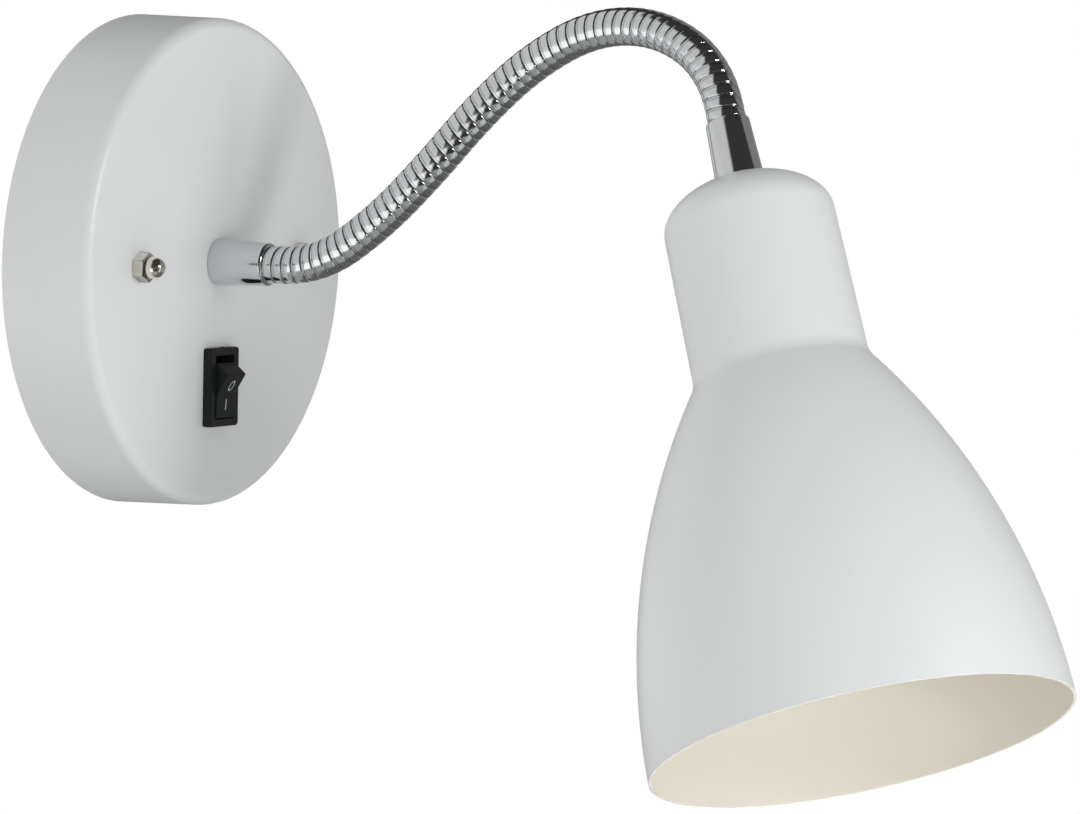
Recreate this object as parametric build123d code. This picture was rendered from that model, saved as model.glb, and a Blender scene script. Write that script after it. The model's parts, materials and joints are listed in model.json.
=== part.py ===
"""Bedside wall reading lamp: a round wall plate with a rocker switch, a ribbed gooseneck and a bell shade.

All sizes are millimetres. The origin is the centre of the wall plate's back, on the wall.
X runs to the right as seen from the room, Y runs into the wall and Z is up, so the lamp reaches along -Y.

Three working frames keep the numbers simple:
  wall frame    x right, y up, z out of the wall, from the origin
  switch frame  the wall frame moved to the middle of the switch, on the wall plate's front face
  head frame    z down the shade's axis, from the seat of the ferrule on top of the shade
"""
import os
from math import cos, degrees, pi, radians, sin, tan

from build123d import *

# ---- clearances ----
THREAD_GAP = 0.04      # radial gap left between a modelled thread and its hole
FIT_GAP = 0.05         # radial gap of pieces that slide or turn in each other
HOLE_GAP = 0.25        # radial gap of a screw or tail in a plain hole

# ---- wall plate ----
PLATE_RADIUS = 65.3
PLATE_DEPTH = 26.3
PLATE_WALL = 1.2
PLATE_DRAFT = 1.1      # degrees that the rim wall leans in towards the front
PLATE_EDGE = 3.0       # radius of the rounded front edge

# ---- ferrules: one at each end of the gooseneck ----
FERRULE_LENGTH = 16.0
FERRULE_FOOT_RADIUS = 6.3
FERRULE_TIP_RADIUS = 5.65
FERRULE_SHOULDER = 0.8     # height of the rounded shoulder at the tip
FERRULE_ROUNDING = 0.1     # how much less the shoulder narrows than it rises
TAIL_RADIUS = 5.0          # M10 x 1 tail
TAIL_CHAMFER = 0.5
BASE_TAIL = 8.5
HEAD_TAIL = 11.5

# ---- gooseneck ----
NECK_LENGTH = 171.4        # length in view, from ferrule to ferrule
NECK_RADIUS = 5.0
NECK_GROOVE_RADIUS = 4.55
NECK_CORE_RADIUS = 4.3     # plain end that sits in a ferrule
NECK_BORE_RADIUS = 3.2
NECK_SEAT = 6.0            # depth of that end in the ferrule
NECK_STRAIGHT = 4.0        # straight run in view at each end
NECK_GROOVE = 0.2          # width of a groove's floor
NECK_FLANK = 0.18          # length of the slope on each side of a groove
# headings where one arc ends and the next begins: degrees of climb, degrees of swing to the right
NECK_HEADINGS = ((0, 0), (35, 5), (45, 7), (50, 14), (43, 11), (27, 1), (0, -8), (-28, -15), (-66, -29.5))
RIBS_PER_STRETCH = (14, 15, 15, 14)
STRETCHES = ("gooseneck_root", "gooseneck_rise", "gooseneck_crest", "gooseneck_drop")

# ---- shade ----
SHADE_HEIGHT = 150.2
SHADE_MOUTH_RADIUS = 54.3
SHADE_MOUTH_LEAN = 1.0     # degrees between the wall and the axis at the mouth
SHADE_SHOULDER_RADIUS = 22.0
SHADE_WAIST_RADIUS = 22.6
SHADE_WAIST = 52.3         # how far down the waist is
SHADE_WAIST_BEND = 7.0     # radius of the bend at the waist
DOME_DEPTH = 11.9
SHADE_WALL = 0.8
SHADE_SEAT_RADIUS = 6.6

# ---- nuts and washers on the two tails ----
NUT_FLATS = 13.0
NUT_HEIGHT = 3.0
WASHER_RADIUS = 7.4
WASHER_THICKNESS = 0.8
WASHER_TEETH = 12
WASHER_NOTCH = 1.0
SHADE_WASHER_RADIUS = 6.3
SHADE_WASHER_THICKNESS = 1.0
TAG_THICKNESS = 0.8
TAG_RADIUS = 6.8           # of the ring tag's eye
TAG_NECK = 3.2
TAG_BARREL_RADIUS = 1.6
TAG_BARREL_LENGTH = 5.0
TAG_BARREL_AT = 9.6        # how far its barrel is above the tail's axis

# ---- bracket and its M4 fixings ----
STUD_SPACING = 80.0
STUD_RADIUS = 2.0
STUD_HEAD_RADIUS = 3.5
STUD_HEAD_HEIGHT = 2.2
STUD_HEAD_ROUNDING = 0.8
STUD_CHAMFER = 0.5
STUD_REACH = 5.0           # how far a stud stands in front of the wall plate
CAP_NUT_FLATS = 7.0
CAP_NUT_HEX_HEIGHT = 3.4
CAP_NUT_HEIGHT = 7.6
CAP_NUT_DOME_RADIUS = 2.9
CAP_NUT_BEVEL = 0.6        # share of the hexagon's corner that its chamfer takes
CAP_NUT_LEDGE = 0.2        # between the dome and the chamfer
CAP_NUT_SPARE = 0.6        # depth of its thread beyond the stud
STUD_NUT_HEIGHT = 3.2
BRACKET_LENGTH = 98.0
BRACKET_WIDTH = 18.0
BRACKET_THICKNESS = 1.5
BRACKET_STEP = 3.0         # how far its ends stand off the wall
BRACKET_STEP_AT = 30.0
BRACKET_STEP_RUN = 3.0
BRACKET_CORNER = 4.0
SLOT_SPACING = 44.0
SLOT_LENGTH = 10.0
SLOT_WIDTH = 4.6
TONGUE_WIDTH = 32.0
TONGUE_TOP = 44.0

# ---- terminal block ----
POLE_PITCH = 10.0
BLOCK_LENGTH = 16.0
BLOCK_BASE = 2.6
BLOCK_HEIGHT = 12.0
BLOCK_CENTRE = 33.0        # height of its middle above the plate's centre
TOWER_RADIUS = 2.7
TOWER_OFFSET = 3.8
TUBE_RADIUS = 2.3
TUBE_BORE_RADIUS = 1.4
TUBE_LENGTH = 14.0
TUBE_AXIS = 4.4            # height of a tube's axis over the block's foot
TUNNEL_WALL = 0.9
CLAMP_SCREW_RADIUS = 1.25
CLAMP_SCREW_TIP = 0.2      # how far its tip stops above the tube's axis
CLAMP_HEAD_RADIUS = 1.6
CLAMP_HEAD_HEIGHT = 1.6
CLAMP_HEAD_SUNK = 1.0
CLAMP_SLOT = 0.5
BLOCK_SCREW_RADIUS = 1.0
BLOCK_SCREW_HEAD_RADIUS = 1.65
BLOCK_SCREW_HEAD_HEIGHT = 1.2

# ---- rocker switch ----
SWITCH_DROP = 33.2         # how far its middle is below the plate's centre
BEZEL_WIDTH = 14.4
BEZEL_LENGTH = 21.0
BEZEL_HEIGHT = 2.4
BEZEL_CORNER = 0.9
BEZEL_EDGE = 0.5
NIB_RADIUS = 0.45          # gate marks left by the mould, one on the top edge and one on the left
NIB_HEIGHT = 0.9
NIB_SUNK = 0.2
SWITCH_WIDTH = 12.8
SWITCH_LENGTH = 19.0
SWITCH_DEPTH = 13.4
SWITCH_FLOOR = 2.0
CUTOUT_GAP = 0.1
BARB_WIDTH = 6.0           # the two catches that snap behind the wall plate
BARB_LENGTH = 4.65
BARB_RISE = 0.6
BARB_GAP = 0.15
WELL_WIDTH = 9.4
WELL_LENGTH = 17.0
WELL_LIP = 1.3
CAVITY_LENGTH = 17.8
ROCKER_WIDTH = 9.0
ROCKER_TILT = 16.5         # degrees either way from level
ROCKER_PIVOT = -3.5        # height of the pivot over the plate's front
ROCKER_VALLEY = 6.55       # height of the valley between its two faces over the pivot
ROCKER_FACE = 6.3
ROCKER_FACE_RISE = 15.5    # degrees
ROCKER_EDGE = 0.3          # radius of its two ridges
ROCKER_FOOT = (7.95, 3.9)  # where an end wall stops: out from the middle, height over the pivot
ROCKER_HIP = (6.5, 1.2)    # the same for the slope under it
ROCKER_KEEL = (2.4, -2.0)
ROCKER_PIN_RADIUS = 1.0
PLUNGER_RADIUS = 0.9
PLUNGER_REACH = 4.06       # distance of the tip's centre below the pivot
SPRING_RADIUS = 1.3
SPRING_FOOT = -0.4         # height of the collar that the spring stands on, over the pivot
SPRING_TOP = 3.0
COLLAR_THICKNESS = 0.6
LEVER_TILT = 8.0
LEVER_BEND = 16.4
LEVER_ARM = 5.6
LEVER_THICKNESS = 0.5
LEVER_VALLEY = -8.55       # height of its upper side at the middle over the plate's front
LEVER_WIDTH = 3.8
LEVER_GAP = 0.06           # between the lever and the edge that it rocks on
TAB_WIDTH = 4.8
TAB_THICKNESS = 0.8
TAB_LENGTH = 7.6
LOAD_TAB = 6.5             # distance of the load terminal from the middle
CONTACT_AT = 4.5
BUTTON_RADIUS = 0.9        # the fixed contact's button and the shelf under it
BUTTON_HEIGHT = 0.5
SHELF_WIDTH = 3.4
SHELF_THICKNESS = 0.6
SHELF_MARGIN = 1.2

# ---- lampholder for an E14 lamp ----
HOLDER_TOP = 6.0           # its upper end, down from the ferrule's seat
HOLDER_NECK_RADIUS = 8.0
HOLDER_NECK_HEIGHT = 4.0
HOLDER_SHOULDER = 5.0
HOLDER_RADIUS = 13.6
HOLDER_WALL = 1.6
CAP_BOTTOM = 24.0
COLLAR_HEIGHT = 3.0
COLLAR_WALL = 1.3
SKIRT_BOTTOM = 54.0
SKIRT_GRIP = 12.0          # height of the wide band that is gripped to unscrew it
SKIRT_STEP = 1.6
SKIRT_TAPER = 0.6
SKIRT_LIP = 1.5
SKIRT_MOUTH_GAP = 1.4      # between the skirt's mouth and the screw shell
INSERT_LEDGE = 0.8
INSERT_TOP = 20.0
INSERT_BOTTOM = 29.0
SOCKET_RADIUS = 7.0
SOCKET_SHELL = 0.4
SOCKET_TOP = 29.0
SOCKET_BOTTOM = 52.0
SOCKET_FLANGE = 1.2
SOCKET_LIP = 0.5
POST_OFFSET = 5.6
POST_HEIGHT = 3.0
POST_WIDTH = 4.0
POST_LENGTH = 4.4
INSERT_RIB = 3.0
POCKET_RADIUS = 4.6
POCKET_FLOOR = 25.6
RIVET_RADIUS = 1.15
CONTACT_THICKNESS = 0.4
CONTACT_WIDTH = 3.0
CONTACT_SUNK = 0.5         # how far the tongue's tip stops above the core's lower face

# ---- wires ----
CORE_RADIUS = 0.9          # insulated single core
CORE_OFFSET = 1.25         # of each core from the gooseneck's axis
SHARE_OF_RUN = 0.45        # share of the shorter run that a wire's bend takes up

FRONT_INSIDE = PLATE_DEPTH - PLATE_WALL
WALL_FRAME = Plane(origin=(0, 0, 0), x_dir=(1, 0, 0), z_dir=(0, -1, 0))
SWITCH_FRAME = WALL_FRAME.location * Location((0, -SWITCH_DROP, PLATE_DEPTH))


# ---- small helpers ----
def ring(outer, inner, bottom, top):
    """A plain ring or tube about Z."""
    return turned(((inner, bottom), (outer, bottom), (outer, top), (inner, top)))


def turned(outline):
    """A turned piece: the closed outline of (radius, height) points, turned about Z."""
    return revolve(Plane.XZ * make_face(Polyline(*outline, close=True)), Axis.Z)


def rod(radius, bottom, top, x=0, y=0):
    """A round bar along Z."""
    return Location((x, y, bottom)) * extrude(Circle(radius), top - bottom)


def bar(x_size, y_size, bottom, top, x=0, y=0):
    """A rectangular block centred on x and y."""
    return Location((x, y, bottom)) * extrude(Rectangle(x_size, y_size), top - bottom)


def hex_nut(flats, height, bore):
    """A hexagon nut standing on z = 0, its corners chamfered above."""
    blank = extrude(RegularPolygon(flats / 2, 6, major_radius=False), height)
    corner = flats / 2 / cos(radians(30))
    bevel = corner - flats / 2
    cone = turned(((0, 0), (corner, 0), (corner, height - bevel), (flats / 2, height), (0, height)))
    return (blank & cone) - rod(bore, -1, height + 1)


def along_x(radius, half_length, y, z):
    """A round bar along X, centred on x = 0."""
    end = Plane(origin=(-half_length, y, z), x_dir=(0, 1, 0), z_dir=(1, 0, 0))
    return end * extrude(Circle(radius), 2 * half_length)


def profile_along_x(points, half_width):
    """A flat outline of (y, z) points given a width along X."""
    side = Plane(origin=(-half_width, 0, 0), x_dir=(0, 1, 0), z_dir=(1, 0, 0))
    return extrude(side * make_face(Polyline(*points, close=True)), 2 * half_width)


# ---- the gooseneck's line ----
def heading(climb, swing):
    """Unit vector for a climb and a swing in degrees; (0, 0) points straight out of the wall."""
    level = cos(radians(climb))
    return Vector(sin(radians(swing)) * level, -cos(radians(swing)) * level, sin(radians(climb)))


def neck_edges():
    """The gooseneck's centreline: a straight run, equal tangent arcs between the headings, a straight run."""
    directions = [heading(*pair) for pair in NECK_HEADINGS]
    arc_length = (NECK_LENGTH - 2 * NECK_STRAIGHT) / (len(directions) - 1)
    start = Vector(0, -(PLATE_DEPTH + FERRULE_LENGTH), 0)
    edges = [Edge.make_line(start, start + directions[0] * NECK_STRAIGHT)]
    here = start + directions[0] * NECK_STRAIGHT
    for first, second in zip(directions, directions[1:]):
        turn = radians(first.get_angle(second))
        chord = 2 * arc_length / turn * sin(turn / 2)
        there = here + (first + second).normalized() * chord
        edges.append(Edge.make_tangent_arc(here, first, there))
        print(f"gooseneck arc of {degrees(turn):.1f} degrees, radius {arc_length / turn:.1f}")
        here = there
    edges.append(Edge.make_line(here, here + directions[-1] * NECK_STRAIGHT))
    return edges


NECK_EDGES = neck_edges()
NECK_END = NECK_EDGES[-1] @ 1
NECK_END_HEADING = NECK_EDGES[-1] % 1


def across(point, direction):
    """The plane square to the gooseneck, its X axis kept as near to the world's X as it can be."""
    steady = Vector(1, 0, 0) - direction * direction.dot(Vector(1, 0, 0))
    return Plane(origin=point, x_dir=steady.normalized(), z_dir=direction)


def neck_plane(distance):
    """The plane square to the gooseneck at a distance from where it leaves the wall plate's ferrule."""
    if distance < 0:
        return across(NECK_EDGES[0].position_at(0) + (NECK_EDGES[0] % 0) * distance, NECK_EDGES[0] % 0)
    for edge in NECK_EDGES:
        if distance <= edge.length:
            return across(edge.position_at(distance / edge.length), edge.tangent_at(distance / edge.length))
        distance -= edge.length
    return across(NECK_END + NECK_END_HEADING * distance, NECK_END_HEADING)


HEAD_FRAME = across(NECK_END + NECK_END_HEADING * FERRULE_LENGTH, NECK_END_HEADING)


def lofted(sections):
    """A ruled loft through circles given as (distance along the gooseneck, radius)."""
    circles = [Wire.make_circle(radius, neck_plane(distance)) for distance, radius in sections]
    return Solid.make_loft(circles, ruled=True)


def neck_bore(start, end):
    """The gooseneck's bore between two distances, swept along its own line."""
    pieces = []
    passed = 0.0
    for edge in NECK_EDGES:
        low = max(start, passed)
        high = min(end, passed + edge.length)
        if high - low > 1e-6:
            pieces.append(edge.trim((low - passed) / edge.length, (high - passed) / edge.length))
        passed += edge.length
    if start < 0:
        pieces.insert(0, Edge.make_line(neck_plane(start).origin, neck_plane(0).origin))
    if end > passed:
        pieces.append(Edge.make_line(NECK_END, neck_plane(end).origin))
    return sweep(neck_plane(start) * Circle(NECK_BORE_RADIUS), path=Wire(pieces))


def gooseneck_stretch(index):
    """One stretch of the ribbed tube: flat bands parted by narrow grooves, with its bore."""
    pitch = NECK_LENGTH / sum(RIBS_PER_STRETCH)
    first = sum(RIBS_PER_STRETCH[:index])
    start = first * pitch
    end = (first + RIBS_PER_STRETCH[index]) * pitch
    floor = NECK_GROOVE / 2
    crest = floor + NECK_FLANK
    sections = []
    for rib in range(RIBS_PER_STRETCH[index]):
        left = start + rib * pitch
        right = left + pitch
        sections += [(left + floor, NECK_GROOVE_RADIUS), (left + crest, NECK_RADIUS)]
        sections += [(right - crest, NECK_RADIUS), (right - floor, NECK_GROOVE_RADIUS)]
    if index == 0:
        start -= NECK_SEAT
        sections = [(start, NECK_CORE_RADIUS), (0, NECK_CORE_RADIUS), (0, NECK_GROOVE_RADIUS)] + sections
    else:
        sections = [(start, NECK_GROOVE_RADIUS)] + sections
    if index == len(RIBS_PER_STRETCH) - 1:
        end += NECK_SEAT
        sections += [(NECK_LENGTH, NECK_GROOVE_RADIUS), (NECK_LENGTH, NECK_CORE_RADIUS)]
        sections += [(end, NECK_CORE_RADIUS)]
    else:
        sections += [(end, NECK_GROOVE_RADIUS)]
    return lofted(sections) - neck_bore(start, end)


def ferrule(tail):
    """A turned ferrule: foot on z = 0, tip up, hollow threaded tail down."""
    tip = FERRULE_LENGTH
    seat = NECK_CORE_RADIUS + FIT_GAP
    shoulder_start = (FERRULE_TIP_RADIUS, tip - FERRULE_SHOULDER)
    shoulder_end = (FERRULE_TIP_RADIUS - FERRULE_SHOULDER + FERRULE_ROUNDING, tip)
    slope = (FERRULE_TIP_RADIUS - FERRULE_FOOT_RADIUS, tip - FERRULE_SHOULDER)
    bore_end = (NECK_BORE_RADIUS, -tail)
    outline = Polyline(
        bore_end, (TAIL_RADIUS - TAIL_CHAMFER, -tail), (TAIL_RADIUS, TAIL_CHAMFER - tail), (TAIL_RADIUS, 0),
        (FERRULE_FOOT_RADIUS, 0), shoulder_start,
    )
    outline += TangentArc(shoulder_start, shoulder_end, tangent=slope)
    outline += Polyline(
        shoulder_end, (seat, tip), (seat, tip - NECK_SEAT), (NECK_BORE_RADIUS, tip - NECK_SEAT), bore_end
    )
    return revolve(Plane.XZ * make_face(outline), Axis.Z)


def lock_washer():
    """A washer with bent teeth all round, lying on z = 0."""
    washer = ring(WASHER_RADIUS, TAIL_RADIUS + HOLE_GAP, 0, WASHER_THICKNESS)
    notch = bar(WASHER_NOTCH, 2 * WASHER_NOTCH, -1, WASHER_THICKNESS + 1, y=WASHER_RADIUS)
    for turn in range(0, 360, 360 // WASHER_TEETH):
        washer -= Rot(0, 0, turn) * notch
    return washer


# ---- wall plate and bracket ----
def canopy():
    """The pressed wall plate: a shallow cup with holes for the ferrule, the studs and the switch."""
    outer = extrude(Circle(PLATE_RADIUS), PLATE_DEPTH, taper=PLATE_DRAFT)
    outer = fillet(outer.edges().group_by(Axis.Z)[-1], PLATE_EDGE)
    hollow = extrude(Circle(PLATE_RADIUS - PLATE_WALL), FRONT_INSIDE, taper=PLATE_DRAFT)
    hollow = fillet(hollow.edges().group_by(Axis.Z)[-1], PLATE_EDGE - PLATE_WALL)
    cup = outer - hollow - rod(TAIL_RADIUS + HOLE_GAP, 0, PLATE_DEPTH + 1)
    for side in (-1, 1):
        cup -= rod(STUD_RADIUS + HOLE_GAP, 0, PLATE_DEPTH + 1, x=side * STUD_SPACING / 2)
    width = SWITCH_WIDTH + 2 * CUTOUT_GAP
    length = SWITCH_LENGTH + 2 * CUTOUT_GAP
    return cup - bar(width, length, FRONT_INSIDE - 1, PLATE_DEPTH + 1, y=-SWITCH_DROP)


def mounting_bracket():
    """A steel strap with joggled ends, two slots for wall screws and a tongue for the terminal block."""
    half = BRACKET_LENGTH / 2
    bend = BRACKET_STEP_AT
    flat = bend + BRACKET_STEP_RUN
    right = ((bend, 0), (flat, BRACKET_STEP), (half, BRACKET_STEP))
    under = tuple((-x, z) for x, z in reversed(right)) + right
    over = tuple((x, z + BRACKET_THICKNESS) for x, z in reversed(under))
    side = Plane(origin=(0, BRACKET_WIDTH / 2, 0), x_dir=(1, 0, 0), z_dir=(0, -1, 0))
    strap = extrude(side * make_face(Polyline(*under, *over, close=True)), BRACKET_WIDTH)
    tongue_height = TONGUE_TOP - BRACKET_WIDTH / 2 + 1
    strap += bar(TONGUE_WIDTH, tongue_height, 0, BRACKET_THICKNESS, y=TONGUE_TOP - tongue_height / 2)
    for corners in (
        lambda edges: edges.group_by(Axis.Y)[-1],
        lambda edges: edges.group_by(Axis.X)[0],
        lambda edges: edges.group_by(Axis.X)[-1],
    ):
        strap = fillet(corners(strap.edges().filter_by(Axis.Z)), BRACKET_CORNER)
    slot = extrude(SlotOverall(SLOT_LENGTH, SLOT_WIDTH), 3 * BRACKET_THICKNESS, both=True)
    for side_of in (-1, 1):
        strap -= Location((side_of * SLOT_SPACING / 2, 0, 0)) * slot
        strap -= rod(STUD_RADIUS + THREAD_GAP, 0, PLATE_DEPTH, x=side_of * STUD_SPACING / 2)
    return strap - rod(BLOCK_SCREW_RADIUS + THREAD_GAP, -1, PLATE_DEPTH, x=POLE_PITCH / 2, y=BLOCK_CENTRE)


def both_studs(piece):
    """A copy of a piece on each stud's axis."""
    return [Location((side * STUD_SPACING / 2, 0, 0)) * piece for side in (-1, 1)]


def bracket_stud():
    """An M4 pan-head screw put through the bracket from behind."""
    bottom = BRACKET_STEP
    top = PLATE_DEPTH + STUD_REACH
    head = rod(STUD_HEAD_RADIUS, bottom - STUD_HEAD_HEIGHT, bottom)
    head = fillet(head.edges().group_by(Axis.Z)[0], STUD_HEAD_ROUNDING)
    return head + chamfer(rod(STUD_RADIUS, bottom, top).edges().group_by(Axis.Z)[-1], STUD_CHAMFER)


def stud_nut():
    """The nut that locks a stud on the bracket."""
    nut = hex_nut(CAP_NUT_FLATS, STUD_NUT_HEIGHT, STUD_RADIUS + THREAD_GAP)
    return Location((0, 0, BRACKET_STEP + BRACKET_THICKNESS)) * nut


def cap_nut():
    """A domed nut: a chamfered hexagon, a short neck and a round cap over a blind thread."""
    body = extrude(RegularPolygon(CAP_NUT_FLATS / 2, 6, major_radius=False), CAP_NUT_HEX_HEIGHT)
    corner = CAP_NUT_FLATS / 2 / cos(radians(30))
    bevel = (corner - CAP_NUT_FLATS / 2) * CAP_NUT_BEVEL
    body &= turned((
        (0, 0), (corner - bevel, 0), (corner, bevel * CAP_NUT_BEVEL), (corner, CAP_NUT_HEX_HEIGHT - bevel),
        (CAP_NUT_DOME_RADIUS + CAP_NUT_LEDGE, CAP_NUT_HEX_HEIGHT), (0, CAP_NUT_HEX_HEIGHT),
    ))
    dome_centre = CAP_NUT_HEIGHT - CAP_NUT_DOME_RADIUS
    body += rod(CAP_NUT_DOME_RADIUS, CAP_NUT_HEX_HEIGHT, dome_centre)
    body += Location((0, 0, dome_centre)) * Sphere(CAP_NUT_DOME_RADIUS)
    body -= rod(STUD_RADIUS + THREAD_GAP, -1, STUD_REACH + CAP_NUT_SPARE)
    return Location((0, 0, PLATE_DEPTH)) * body


def earth_tag():
    """A ring tag round the tail, its crimp barrel bent back towards the wall."""
    top = FRONT_INSIDE
    bottom = top - TAG_THICKNESS
    eye = TAIL_RADIUS + HOLE_GAP
    tag = ring(TAG_RADIUS, eye, bottom, top)
    neck_start = (eye + TAG_RADIUS) / 2
    tag += bar(TAG_NECK, TAG_BARREL_AT - neck_start, bottom, top, y=(TAG_BARREL_AT + neck_start) / 2)
    barrel = ring(TAG_BARREL_RADIUS, CORE_RADIUS + FIT_GAP, bottom - TAG_BARREL_LENGTH, bottom)
    return tag + Location((0, TAG_BARREL_AT, 0)) * barrel


def tail_washer():
    """The toothed washer on the base ferrule's tail."""
    return Location((0, 0, FRONT_INSIDE - TAG_THICKNESS - WASHER_THICKNESS)) * lock_washer()


def tail_nut():
    """The nut that holds the base ferrule in the wall plate."""
    at = FRONT_INSIDE - TAG_THICKNESS - WASHER_THICKNESS - NUT_HEIGHT
    return Location((0, 0, at)) * hex_nut(NUT_FLATS, NUT_HEIGHT, TAIL_RADIUS + THREAD_GAP)


# ---- terminal block ----
POLES = (-POLE_PITCH, 0, POLE_PITCH)


def on_block(piece, x=0, y=0):
    """A piece moved from the foot of the terminal block to its place on the bracket."""
    return Location((x, BLOCK_CENTRE + y, BRACKET_THICKNESS)) * piece


def terminal_block():
    """The moulded strip: a web, one tunnel for each pole and two screw towers on each tunnel."""
    body = bar(3 * POLE_PITCH - 2, BLOCK_LENGTH - 3, 0, BLOCK_BASE)
    shell = TUBE_RADIUS + TUNNEL_WALL
    for x in POLES:
        tunnel = bar(2 * shell, BLOCK_LENGTH, 0, TUBE_AXIS, x=x)
        arch = Plane(origin=(x, -BLOCK_LENGTH / 2, TUBE_AXIS), x_dir=(1, 0, 0), z_dir=(0, 1, 0))
        body += tunnel + arch * extrude(Circle(shell), BLOCK_LENGTH)
        for y in (-TOWER_OFFSET, TOWER_OFFSET):
            body += rod(TOWER_RADIUS, TUBE_AXIS, BLOCK_HEIGHT, x=x, y=y)
    for x in POLES:
        tunnel = Plane(origin=(x, -BLOCK_LENGTH, TUBE_AXIS), x_dir=(1, 0, 0), z_dir=(0, 1, 0))
        body -= tunnel * extrude(Circle(TUBE_RADIUS + THREAD_GAP), 2 * BLOCK_LENGTH)
        for y in (-TOWER_OFFSET, TOWER_OFFSET):
            body -= rod(CLAMP_HEAD_RADIUS + HOLE_GAP, TUBE_AXIS, BLOCK_HEIGHT + 1, x=x, y=y)
    return on_block(body - rod(BLOCK_SCREW_RADIUS + THREAD_GAP, -1, BLOCK_BASE + 1, x=POLE_PITCH / 2))


def terminal_tubes():
    """The three brass tubes that the wires are clamped in."""
    tubes = []
    for x in POLES:
        axis = Plane(origin=(x, -TUBE_LENGTH / 2, TUBE_AXIS), x_dir=(1, 0, 0), z_dir=(0, 1, 0))
        tube = axis * extrude(Circle(TUBE_RADIUS) - Circle(TUBE_BORE_RADIUS), TUBE_LENGTH)
        for y in (-TOWER_OFFSET, TOWER_OFFSET):
            tube -= rod(CLAMP_SCREW_RADIUS + THREAD_GAP, TUBE_AXIS, BLOCK_HEIGHT, x=x, y=y)
        tubes.append(on_block(tube))
    return tubes


def clamp_screws():
    """The six slotted screws that press on the wires."""
    head = BLOCK_HEIGHT - CLAMP_HEAD_SUNK - CLAMP_HEAD_HEIGHT
    screw = rod(CLAMP_SCREW_RADIUS, TUBE_AXIS + CLAMP_SCREW_TIP, head)
    screw += rod(CLAMP_HEAD_RADIUS, head, head + CLAMP_HEAD_HEIGHT)
    screw -= bar(3 * CLAMP_HEAD_RADIUS, CLAMP_SLOT, head + CLAMP_HEAD_HEIGHT / 2, BLOCK_HEIGHT)
    return [on_block(screw, x, y) for x in POLES for y in (-TOWER_OFFSET, TOWER_OFFSET)]


def block_screw():
    """The screw that holds the terminal block on the bracket's tongue."""
    screw = rod(BLOCK_SCREW_RADIUS, 0.1 - BRACKET_THICKNESS, BLOCK_BASE)
    screw += rod(BLOCK_SCREW_HEAD_RADIUS, BLOCK_BASE, BLOCK_BASE + BLOCK_SCREW_HEAD_HEIGHT)
    return on_block(screw, POLE_PITCH / 2)


# ---- rocker switch, in the switch frame ----
def switch_housing():
    """The switch's moulded case: bezel, snap-in body, well for the rocker and its two pivot holes."""
    bezel = extrude(RectangleRounded(BEZEL_WIDTH, BEZEL_LENGTH, BEZEL_CORNER), BEZEL_HEIGHT)
    bezel = fillet(bezel.edges().group_by(Axis.Z)[-1], BEZEL_EDGE)
    nib_top = BEZEL_HEIGHT - BEZEL_EDGE
    bezel += rod(NIB_RADIUS, nib_top - NIB_HEIGHT, nib_top, y=BEZEL_LENGTH / 2 - NIB_SUNK)
    bezel += rod(NIB_RADIUS, nib_top - NIB_HEIGHT, nib_top, x=NIB_SUNK - BEZEL_WIDTH / 2)
    case = bezel + bar(SWITCH_WIDTH, SWITCH_LENGTH, -SWITCH_DEPTH, 0)
    case -= bar(WELL_WIDTH, WELL_LENGTH, -1, BEZEL_HEIGHT + 1)
    case -= bar(WELL_WIDTH, CAVITY_LENGTH, SWITCH_FLOOR - SWITCH_DEPTH, BEZEL_HEIGHT - WELL_LIP)
    case -= along_x(ROCKER_PIN_RADIUS + FIT_GAP, SWITCH_WIDTH, 0, ROCKER_PIVOT)
    slit_width = TAB_WIDTH + 2 * THREAD_GAP
    slit_thickness = TAB_THICKNESS + 2 * THREAD_GAP
    for y in (0, LOAD_TAB):
        case -= bar(slit_width, slit_thickness, -SWITCH_DEPTH - 1, 2 * SWITCH_FLOOR - SWITCH_DEPTH, y=y)
    edge = SWITCH_LENGTH / 2
    catch = -PLATE_WALL - BARB_GAP
    for side in (-1, 1):
        barb = ((side * edge, catch - BARB_LENGTH), (side * (edge + BARB_RISE), catch), (side * edge, catch))
        case += profile_along_x(barb, BARB_WIDTH / 2)
    return case


def switch_rocker():
    """The rocker in its resting tilt: two faces that meet in a valley, leaning ends, two pivot pins."""
    rise = radians(ROCKER_FACE_RISE)
    peak = (ROCKER_FACE * cos(rise), ROCKER_VALLEY + ROCKER_FACE * sin(rise))
    half = (peak, ROCKER_FOOT, ROCKER_HIP, ROCKER_KEEL)
    outline = ((0, ROCKER_VALLEY),) + half + tuple((-y, z) for y, z in reversed(half))
    body = profile_along_x(outline, ROCKER_WIDTH / 2)
    body = fillet(body.edges().filter_by(Axis.X).group_by(Axis.Z)[-1], ROCKER_EDGE)
    body += along_x(ROCKER_PIN_RADIUS, SWITCH_WIDTH / 2 - FIT_GAP, 0, 0)
    body -= rod(SPRING_RADIUS + FIT_GAP, -SPRING_TOP, SPRING_TOP)
    return in_rocker(body)


def in_rocker(piece):
    """A piece moved from the rocker's level position to its resting tilt on the pivot."""
    return Location((0, 0, ROCKER_PIVOT)) * Rot(ROCKER_TILT, 0, 0) * piece


def switch_plunger():
    """The sprung pin that pushes the contact lever over, with a round tip and a collar."""
    pin = rod(PLUNGER_RADIUS, -PLUNGER_REACH, 0)
    pin += rod(SPRING_RADIUS, SPRING_FOOT - COLLAR_THICKNESS, SPRING_FOOT)
    return in_rocker(pin + Location((0, 0, -PLUNGER_REACH)) * Sphere(PLUNGER_RADIUS))


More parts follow.
